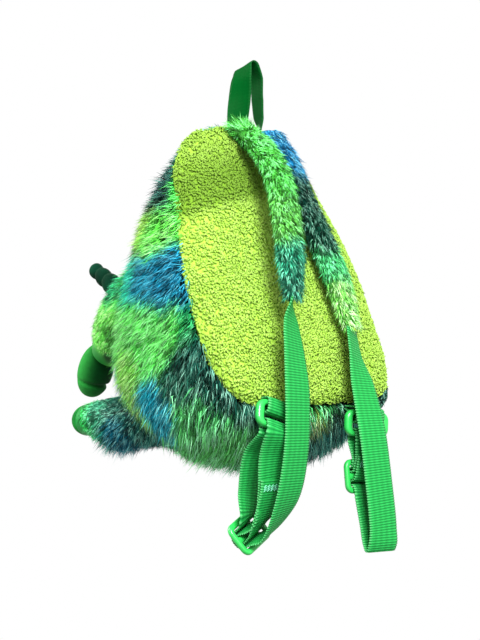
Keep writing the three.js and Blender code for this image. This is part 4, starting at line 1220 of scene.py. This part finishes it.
def over_lower_bar(side):
    steps = [
        (-RING_REACH, -6),
        (-RING_REACH, -1),
        (-RING_REACH * 0.76, RING_OVER * 0.76),
        (0, RING_OVER),
        (RING_REACH * 0.76, RING_OVER * 0.76),
        (RING_REACH, -1),
        (RING_REACH + GAP, -6),
    ]
    return run_at(ring_basis(side), [(up - RING_BAR_AT, deep) for deep, up in steps])


def webbing_places(side):
    """The whole strap, from pad tip through slider and ring back to the slider."""
    line, _ = even_line(PAD_ROUTES[side], PAD_STEPS)
    tip = line[-1] + unit(line[-1] - line[-3]) * (2 + GAP)
    start = [(tip @ BAG_TIP.T, np.array(START_SIDES[side]))]
    sliding, sewn = (run_at(slider_basis(side), SLIDER_WAYS[side][run]) for run in ("sliding", "sewn"))

    def free(run):
        return [(table(*row[:3]), unit(table(*row[3:]))) for row in FREE_RUNS[side].get(run, [])]

    out_to_ring = start + free("hanging") + sliding + free("rising")
    return out_to_ring + over_lower_bar(side) + free("falling") + sewn + free("end")


def tab_places(side):
    """A tab: out of the bottom seam, behind a ring's upper bar, under it and back."""
    steps = [
        (-TAB_DEEP, TAB_RISE - TAB_APART),
        (-RING_REACH * 1.5, 1),
        (-RING_REACH * 0.8, -RING_OVER * 0.7 - TAB_SLACK),
        (0, -RING_OVER - TAB_SLACK),
        (RING_REACH * 0.8, -RING_OVER * 0.7 - TAB_SLACK),
        (RING_REACH, 0),
        (RING_REACH * 0.7, RING_OVER * 0.8),
        (-TAB_DEEP, TAB_RISE + TAB_APART),
    ]
    return run_at(ring_basis(side), [(RING_BAR_AT + up, deep) for deep, up in steps])


# The handle's places, each with the way across the ribbon.
HANDLE_ROUTE = [
    ((9, -6, -9), (1, 0, 0)),
    ((7.5, -1, 8), (0.88, -0.45, 0)),
    ((6, 7, 25), (0.6, -0.8, 0)),
    ((4.5, 14.5, 41), (0.25, -0.97, 0)),
    ((0.5, 17.3, 50.3), (0.1, -1, 0)),
    ((-7, 17.1, 50.5), (-0.2, -0.98, 0)),
    ((-13, 14.5, 41), (-0.26, -0.96, 0)),
    ((-15.5, 7.5, 25), (-0.3, -0.95, 0)),
    ((-18, 1, 11), (-0.4, -0.92, 0)),
    ((-22, -5, -8), (-1, -0.3, 0)),
]

web_lines = {}
for side in SIDES:
    web_lines[side] = band(f"strap_web_{side}", f"webbing_{side}", webbing_places(side), hung_to_row, **WEB)
    band(f"ring_tab_{side}", f"tab_{side}", tab_places(side), hung_to_row, **WEB)
band("ribbon_handle", "handle", HANDLE_ROUTE, bag_to_row, **STRIP)

# Plastic rings and sliders: round-edged bars swept about a frame with rounded corners.
RING_RAIL, RING_INNER, RING_CORNER = 7, 31.5, 5.5
SLIDER_BAR, SLIDER_SLOT, SLIDER_MIDDLE = 5.2, 6, 5.6
SLIDER_RAIL, SLIDER_INNER, SLIDER_DEPTH, SLIDER_CORNER, MIDDLE_THIN = 4.4, 31.2, 4.5, 4.5, 0.9
BAR_ROUNDNESS, BAR_COLUMNS, BAR_ROWS, CORNER_STEPS = 2.6, 20, 12, 9
QUARTERS = ((1, 1), (-1, 1), (-1, -1), (1, -1))


def bar_section(wide, deep):
    """A rounded oblong: across the bar and out of the frame's plane."""
    turn = turns_round(BAR_COLUMNS)
    reach = squared(np.cos(turn), np.sin(turn), BAR_ROUNDNESS)
    return wide / 2 * np.cos(turn) * reach, deep / 2 * np.sin(turn) * reach


def frame_loop(half_x, half_y, corner, bar, rail, depth):
    """A closed frame in its own plane: points and faces, thick as its bars and rails ask."""
    points = []
    for quarter, signs in enumerate(QUARTERS):
        for angle in np.linspace(quarter, quarter + 1, CORNER_STEPS) * math.pi / 2:
            out = np.array([math.cos(angle), math.sin(angle)])
            centre = np.array(signs) * (half_x - corner, half_y - corner) + corner * out
            across, deep = bar_section(rail * out[0] ** 2 + bar * out[1] ** 2, depth)
            points.append(np.column_stack([centre + np.outer(across, out), deep]))
    count = len(points)
    return np.concatenate(points), grid_faces(count + 1, BAR_COLUMNS) % (count * BAR_COLUMNS)


def cross_bar(half_long, wide, depth):
    """A straight bar across the frame, its ends sunk into the rails."""
    across, deep = bar_section(wide, depth)
    rows = np.linspace(-half_long, half_long, BAR_ROWS)
    points = np.concatenate([np.column_stack([np.full(BAR_COLUMNS, x), across, deep]) for x in rows])
    return points, grid_faces(BAR_ROWS, BAR_COLUMNS)


def moulded(kind, side, own, parts):
    origin, bar, rail, _ = own
    points, faces, start = [], [], 0
    for local, quads in parts:
        faces.append(outward(local, quads)[0] + start)
        points.append(local)
        start += len(local)
    placed = origin + np.concatenate(points) @ np.stack([bar, rail, np.cross(bar, rail)])
    made = make_object(f"moulded_{kind}_{side}", hung_to_row(placed), faces, PLASTIC)
    dress(made, f"{kind}_{side}")


ring_half, slider_half = (RING_INNER + RING_RAIL) / 2, (SLIDER_INNER + SLIDER_RAIL) / 2
slider_high = SLIDER_MIDDLE / 2 + SLIDER_SLOT + SLIDER_BAR / 2
ring_parts = [frame_loop(ring_half, RING_BAR_AT, RING_CORNER, RING_BAR, RING_RAIL, RING_DEPTH)]
slider_parts = [
    frame_loop(slider_half, slider_high, SLIDER_CORNER, SLIDER_BAR, SLIDER_RAIL, SLIDER_DEPTH),
    cross_bar(slider_half, SLIDER_MIDDLE, SLIDER_DEPTH * MIDDLE_THIN),
]
for side in SIDES:
    moulded("ring", side, ring_basis(side), ring_parts)
    moulded("slider", side, slider_basis(side), slider_parts)

# Muzzle, soles, horn and eyes. The muzzle's velvet has painted light over its top and painted shade under it
# and towards the body.
MUZZLE_PLACE = np.array([0, -268, -124.0])
MUZZLE_TILT = math.radians(46)
MUZZLE_HALF, MUZZLE_LONG, MUZZLE_THICK, MUZZLE_BLUNT = 17, 27, 17, 0.85
MOUTH_ALONG, MOUTH_DEPTH, MOUTH_WIDE, MOUTH_LEVEL = 11, 4.5, 2.2, 0.6
NOSTRIL_ALONG, NOSTRIL_TURN, NOSTRIL_WIDE, NOSTRIL_LONG, NOSTRIL_DEPTH = 14, math.radians(52), 0.2, 3.2, 2.8
# The muzzle's painted light and shade: the way it darkens, its lit and shaded colours, and where it turns
# between them.
MUZZLE_SHADE_WAY = unit(np.array([0, 0.8, -0.6]))
MUZZLE_LIT, MUZZLE_SHADED, MUZZLE_SHADE_REACH = linear(32, 128, 46), linear(0, 48, 14), (-0.35, 0.9)
SOLE_RIM, SOLE_DOME, SOLE_BLUNT = 15, 13, 0.8
HORN_PLACE = np.array([0, -208, -64.0])
HORN_TILT = math.radians(52)
HORN_ROOT, HORN_BASE, HORN_TIP, HORN_LENGTH = 8, 10, 5.8, 44
HORN_RINGS, HORN_SWELL, HORN_WIND, HORN_ROUND, HORN_BLUNT_FROM = 4, 1.15, 0.12, 0.7, 0.88
EYE_ALONG, EYE_SIDE, EYE_UP, EYE_RADIUS = 42, 12.5, 19, 6

muzzle_axis = tilted(MUZZLE_PLACE, MUZZLE_TILT)
horn_axis = tilted(HORN_PLACE, -HORN_TILT)


def muzzle_surface(place, turn):
    """An egg whose mouth is a groove round its lower front, with a nostril each side."""
    along = -MUZZLE_LONG * np.cos(math.pi * place)
    round_it = np.sin(math.pi * place) ** MUZZLE_BLUNT
    under = np.maximum(0, MOUTH_LEVEL - np.sin(turn)) / (1 + MOUTH_LEVEL)
    inward = MOUTH_DEPTH * bell(along, MOUTH_ALONG, MOUTH_WIDE) * under
    for nostril in (NOSTRIL_TURN, math.pi - NOSTRIL_TURN):
        bearing = np.angle(np.exp(1j * (turn - nostril)))
        dent = bell(bearing, 0, NOSTRIL_WIDE) * bell(along, NOSTRIL_ALONG, NOSTRIL_LONG)
        inward = inward + NOSTRIL_DEPTH * dent
    side = (MUZZLE_HALF * round_it - inward) * np.cos(turn)
    return muzzle_axis(along, side, (MUZZLE_THICK * round_it - inward) * np.sin(turn))


def muzzle_painted_shade(points):
    # Painted shade: lit colour on the top, shaded colour where the surface faces the body and the underside.
    share = smooth_step(unit(points - MUZZLE_PLACE) @ MUZZLE_SHADE_WAY, *MUZZLE_SHADE_REACH)[:, None]
    return MUZZLE_LIT * (1 - share) + MUZZLE_SHADED * share


def sole_surface(sign):
    end_along, end_half, end_high = LEG_ROUNDS[-1]
    wide = (end_half / end_high) ** 0.5

    def surface(place, turn):
        angle = math.pi / 2 * place
        round_it = SOLE_RIM * np.maximum(np.cos(angle), 0) ** SOLE_BLUNT
        along = end_along + GAP + SOLE_DOME * np.sin(angle)
        places = leg_axis(along, round_it * np.cos(turn) * wide, round_it * np.sin(turn) / wide)
        return places * np.array([sign, 1, 1])

    return surface


def horn_surface(place, turn):
    """A tapered round with swollen rings that wind a little, and a blunt tip."""
    ringed = np.abs(np.sin(math.pi * (HORN_RINGS * place + HORN_WIND * np.sin(turn)))) ** HORN_ROUND
    blunt = np.sqrt(1 - share_between(place, HORN_BLUNT_FROM, 1) ** 2)
    radius = (HORN_BASE + (HORN_TIP - HORN_BASE) * place + HORN_SWELL * (ringed * 2 - 1)) * blunt
    height = -HORN_ROOT + (HORN_LENGTH + HORN_ROOT) * place
    return horn_axis(height, radius * np.cos(turn), -radius * np.sin(turn))


def eye_surface(sign):
    middle = head_axis([EYE_ALONG], [sign * EYE_SIDE], [EYE_UP])[0]

    def surface(place, turn):
        angle = math.pi * place
        ball = np.stack([np.sin(angle) * np.cos(turn), np.sin(angle) * np.sin(turn), np.cos(angle)], axis=1)
        return middle + EYE_RADIUS * ball

    return surface


def smooth_piece(name, node, surface, grid, reach, material, tints=None):
    points, quads, caps = skin_of(surface, *grid, reach)
    made = make_object(name, bag_to_row(points), [quads, caps], material, tints and tints(points))
    return dress(made, node)


made = smooth_piece(
    "velvet_muzzle", "muzzle", muzzle_surface, (70, 96), (0.005, 0.995), MUZZLE_PILE, muzzle_painted_shade
)
made = smooth_piece("ringed_horn", "horn", horn_surface, (80, 48), (0.0, 0.998), HORN_SATIN)
for side, sign in SIDES.items():
    sole, eye = sole_surface(sign), eye_surface(sign)
    made = smooth_piece(f"velvet_sole_{side}", f"sole_{side}", sole, (26, 48), (0.0, 0.99), VELVET)
    smooth_piece(f"domed_eye_{side}", f"eye_{side}", eye, (24, 32), (0.02, 0.98), EYE_GLOSS)

# Small blocks: six-faced, each from its middle and three half edges, its top drawn in.
BLOCK_CORNERS = [(a, b, c) for c in (-1, 1) for b in (-1, 1) for a in (-1, 1)]
BLOCK_FACES = np.array([(0, 2, 3, 1), (4, 5, 7, 6), (0, 1, 5, 4), (2, 6, 7, 3), (0, 4, 6, 2), (1, 3, 7, 5)])


def blocks(rows, taper_long, taper_wide):
    points = [
        middle + long * a * (1 - taper_long * (c > 0)) + wide * b * (1 - taper_wide * (c > 0)) + high * c
        for middle, long, wide, high in rows
        for a, b, c in BLOCK_CORNERS
    ]
    offset = (len(BLOCK_CORNERS) * np.arange(len(rows)))[:, None, None]
    return np.array(points), [(BLOCK_FACES + offset).reshape(-1, 4)]


# The zip: a tape over the crown with its coil down the middle.
ZIP_DEPTH, ZIP_WIDTH, ZIP_LOWEST, ZIP_PROUD, ZIP_HEART = -33, 5.4, -95, 1.0, -90
ZIP_STEPS, ZIP_TINT = 220, linear(18, 98, 56)
CROWN_STEPS, TAPE_STRIDE, COIL_STRIDE = 700, 6, 4
COIL_PITCH, COIL_PROUD, COIL_APART, COIL_TAPER = 2.0, 0.25, 0.5, 0.2
COIL_LONG, COIL_WIDE, COIL_HIGH = 0.62, 1.5, 0.6


def gusset_line(depth):
    """Points over the crown where the bag's surface is at a depth, from one side to the other."""
    height, half, mid, front, back, square = rows_at(BODY_SECTIONS, np.linspace(0.0, 0.5, CROWN_STEPS)).T
    behind = depth > mid
    reach = np.where(behind, back - mid, mid - front)
    squareness = np.where(behind, square, FRONT_SQUARENESS)
    share = np.abs(depth - mid) / np.maximum(reach, 1e-6)
    on = (share < 1) & (height > ZIP_LOWEST)
    x = half[on] * (1 - share[on] ** squareness[on]) ** (1 / squareness[on])
    arm = np.stack([x, np.full(on.sum(), depth), height[on]], axis=1)
    return np.concatenate([arm[::-1], arm * np.array([-1, 1, 1])])


def zip_tape():
    depths = (ZIP_DEPTH - ZIP_WIDTH / 2, ZIP_DEPTH, ZIP_DEPTH + ZIP_WIDTH / 2)
    low, middle, high = (even_line(gusset_line(depth)[::TAPE_STRIDE], ZIP_STEPS)[0] for depth in depths)
    out = unit(np.cross(high - low, unit(np.gradient(middle, axis=0))))
    out = facing(out, middle - np.array([0, ZIP_DEPTH, ZIP_HEART]))
    loop = [low + out * ZIP_PROUD, middle + out * ZIP_PROUD, high + out * ZIP_PROUD, high - out, low - out]
    points = np.stack(loop, axis=1).reshape(-1, 3)
    ring = np.arange(len(loop))
    ends = np.array([ring, (ZIP_STEPS - 1) * len(loop) + ring[::-1]])
    faces = outward(points, grid_faces(ZIP_STEPS, len(loop)), ends)
    tints = np.tile(ZIP_TINT, (len(points), 1))
    dress(make_object("zip_tape", bag_to_row(points), faces, TAPE, tints, smooth=False), "zip")
    return middle, out


def zip_teeth(middle, out):
    steps = int(run_of(middle)[-1] / COIL_PITCH)
    line = even_line(middle[::COIL_STRIDE], steps)[0]
    ways = unit(np.gradient(line, axis=0))
    outs = unit(even_line(out[::COIL_STRIDE], steps)[0])
    across = np.cross(ways, outs)
    teeth = []
    for i in range(1, steps - 1):
        apart = COIL_APART if i % 2 else -COIL_APART
        place = line[i] + outs[i] * (ZIP_PROUD + COIL_PROUD) + across[i] * apart
        teeth.append((place, ways[i] * COIL_LONG, across[i] * COIL_WIDE, outs[i] * COIL_HIGH))
    points, faces = blocks(teeth, COIL_TAPER, COIL_TAPER)
    dress(make_object("zip_teeth", bag_to_row(points), faces, TEETH, smooth=False))


zip_teeth(*zip_tape())

# Sewing on the strap's folded end: a dense bar of pale stitches.
TACK_ROWS, TACK_STITCHES, TACK_FROM_END, TACK_APART = 3, 13, 5, 1.6
TACK_REACH, TACK_PROUD, TACK_TAPER = 0.42, 0.35, 0.4
STITCH_ACROSS, STITCH_ALONG, STITCH_WIDE, STITCH_HIGH = 0.8, 0.9, 0.4, 0.32


def bar_tack(side):
    line, ways, face = web_lines[side]
    run = run_of(line)
    stitches = []
    for row in range(TACK_ROWS):
        at = np.searchsorted(run, run[-1] - TACK_FROM_END - row * TACK_APART)
        along = unit(line[at + 1] - line[at - 1])
        for k in range(TACK_STITCHES):
            across = (k + 0.5) / TACK_STITCHES * 2 - 1
            middle = line[at] + ways[at] * across * WEB_WIDTH * TACK_REACH
            middle = middle + face[at] * (WEB_THICK / 2 + TACK_PROUD)
            long = ways[at] * STITCH_ACROSS + along * (STITCH_ALONG if k % 2 else -STITCH_ALONG)
            stitches.append((middle, long, along * STITCH_WIDE, face[at] * STITCH_HIGH))
    points, faces = blocks(stitches, 0, TACK_TAPER)
    dress(make_object(f"bar_tack_{side}", hung_to_row(points), faces, THREAD))


for side in SIDES:
    bar_tack(side)

# A pale studio bowl that runs smoothly up all round, and soft light.
FLOOR_BELOW = 0.5
# The floor's glow under the bag, dimmer as a painted shadow, and elsewhere; and the reaches between them.
SHADOWED_FLOOR_GLOW, STUDIO_GLOW = 0.5, 1.0
FLOOR_SHADOW_REACH, GLOW_REACH = 0.5, 1.7
BOWL_FLAT, BOWL_ROUND, BOWL_TOP = 2.6, 1.6, 4.5
BOWL_FLAT_STEPS, BOWL_ROUND_STEPS, BOWL_COLUMNS = 4, 12, 96
WHITE, BLACK = (1, 1, 1, 1), (0, 0, 0, 1)
LAMPS = {
    "key": ((0.95, 1.6, 0.9), 1.0, 118),
    "fill": ((1.25, -1.5, 0.7), 1.2, 52),
    "far": ((-1.6, -1.0, 0.9), 1.2, 26),
}
LAMP_AIM = Vector((0, 0, -0.22))


def paper():
    """White paper that glows by itself, with a painted shadow under the bag where its glow is dimmer."""
    material, tree = new_material("studio_paper")
    inputs = {0: object_places(tree), 1: (1, 1, 0)}
    flat = add_node(tree, "ShaderNodeVectorMath", inputs, operation="MULTIPLY")["Vector"]
    reach = add_node(tree, "ShaderNodeVectorMath", {0: flat}, operation="LENGTH")["Value"]
    limits = {"From Min": FLOOR_SHADOW_REACH, "From Max": GLOW_REACH, "To Min": SHADOWED_FLOOR_GLOW, "To Max": STUDIO_GLOW}
    glow = add_node(tree, "ShaderNodeMapRange", {"Value": reach, **limits}, interpolation_type="SMOOTHSTEP")
    shade(tree, {"Emission Strength": glow["Result"], "Emission Color": WHITE})
    shade(tree, {"Base Color": BLACK, "Roughness": 1, "Specular IOR Level": 0})
    return material


def bowl(level):
    profile = [(BOWL_FLAT * k / BOWL_FLAT_STEPS, 0.0) for k in range(1, BOWL_FLAT_STEPS + 1)]
    for k in range(1, BOWL_ROUND_STEPS + 1):
        angle = math.pi / 2 * k / BOWL_ROUND_STEPS
        profile.append((BOWL_FLAT + BOWL_ROUND * math.sin(angle), BOWL_ROUND * (1 - math.cos(angle))))
    profile.append((BOWL_FLAT + BOWL_ROUND, BOWL_TOP))
    turn = turns_round(BOWL_COLUMNS)
    rings = []
    for reach, rise in profile:
        height = np.full(BOWL_COLUMNS, level + rise)
        rings.append(np.stack([reach * np.cos(turn), reach * np.sin(turn), height], axis=1))
    quads = grid_faces(len(rings), BOWL_COLUMNS)[:, ::-1]
    ring = np.arange(BOWL_COLUMNS)
    middle = np.full(BOWL_COLUMNS, len(rings) * BOWL_COLUMNS)
    cap = np.stack([middle, ring, (ring + 1) % BOWL_COLUMNS], axis=1)
    return np.concatenate([*rings, [[0, 0, level]]]), [quads, cap]


def studio():
    low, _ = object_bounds()
    floor = make_object("studio_floor", *bowl(low[2] - FLOOR_BELOW), paper())
    world = bpy.data.worlds.new("studio_air")
    world.use_nodes = True
    plug(world.node_tree, world.node_tree.nodes["Background"], {"Color": WHITE, "Strength": 1.0})
    SCENE.world = world
    for name, (place, size, watts) in LAMPS.items():
        data = bpy.data.lights.new(name, "AREA")
        data.shape = "DISK"
        data.size = size
        data.energy = watts
        lamp = bpy.data.objects.new(name, data)
        lamp.location = place
        lamp.rotation_mode = "QUATERNION"
        lamp.rotation_quaternion = (LAMP_AIM - Vector(place)).to_track_quat("-Z", "Y")
        SCENE.collection.objects.link(lamp)


studio()
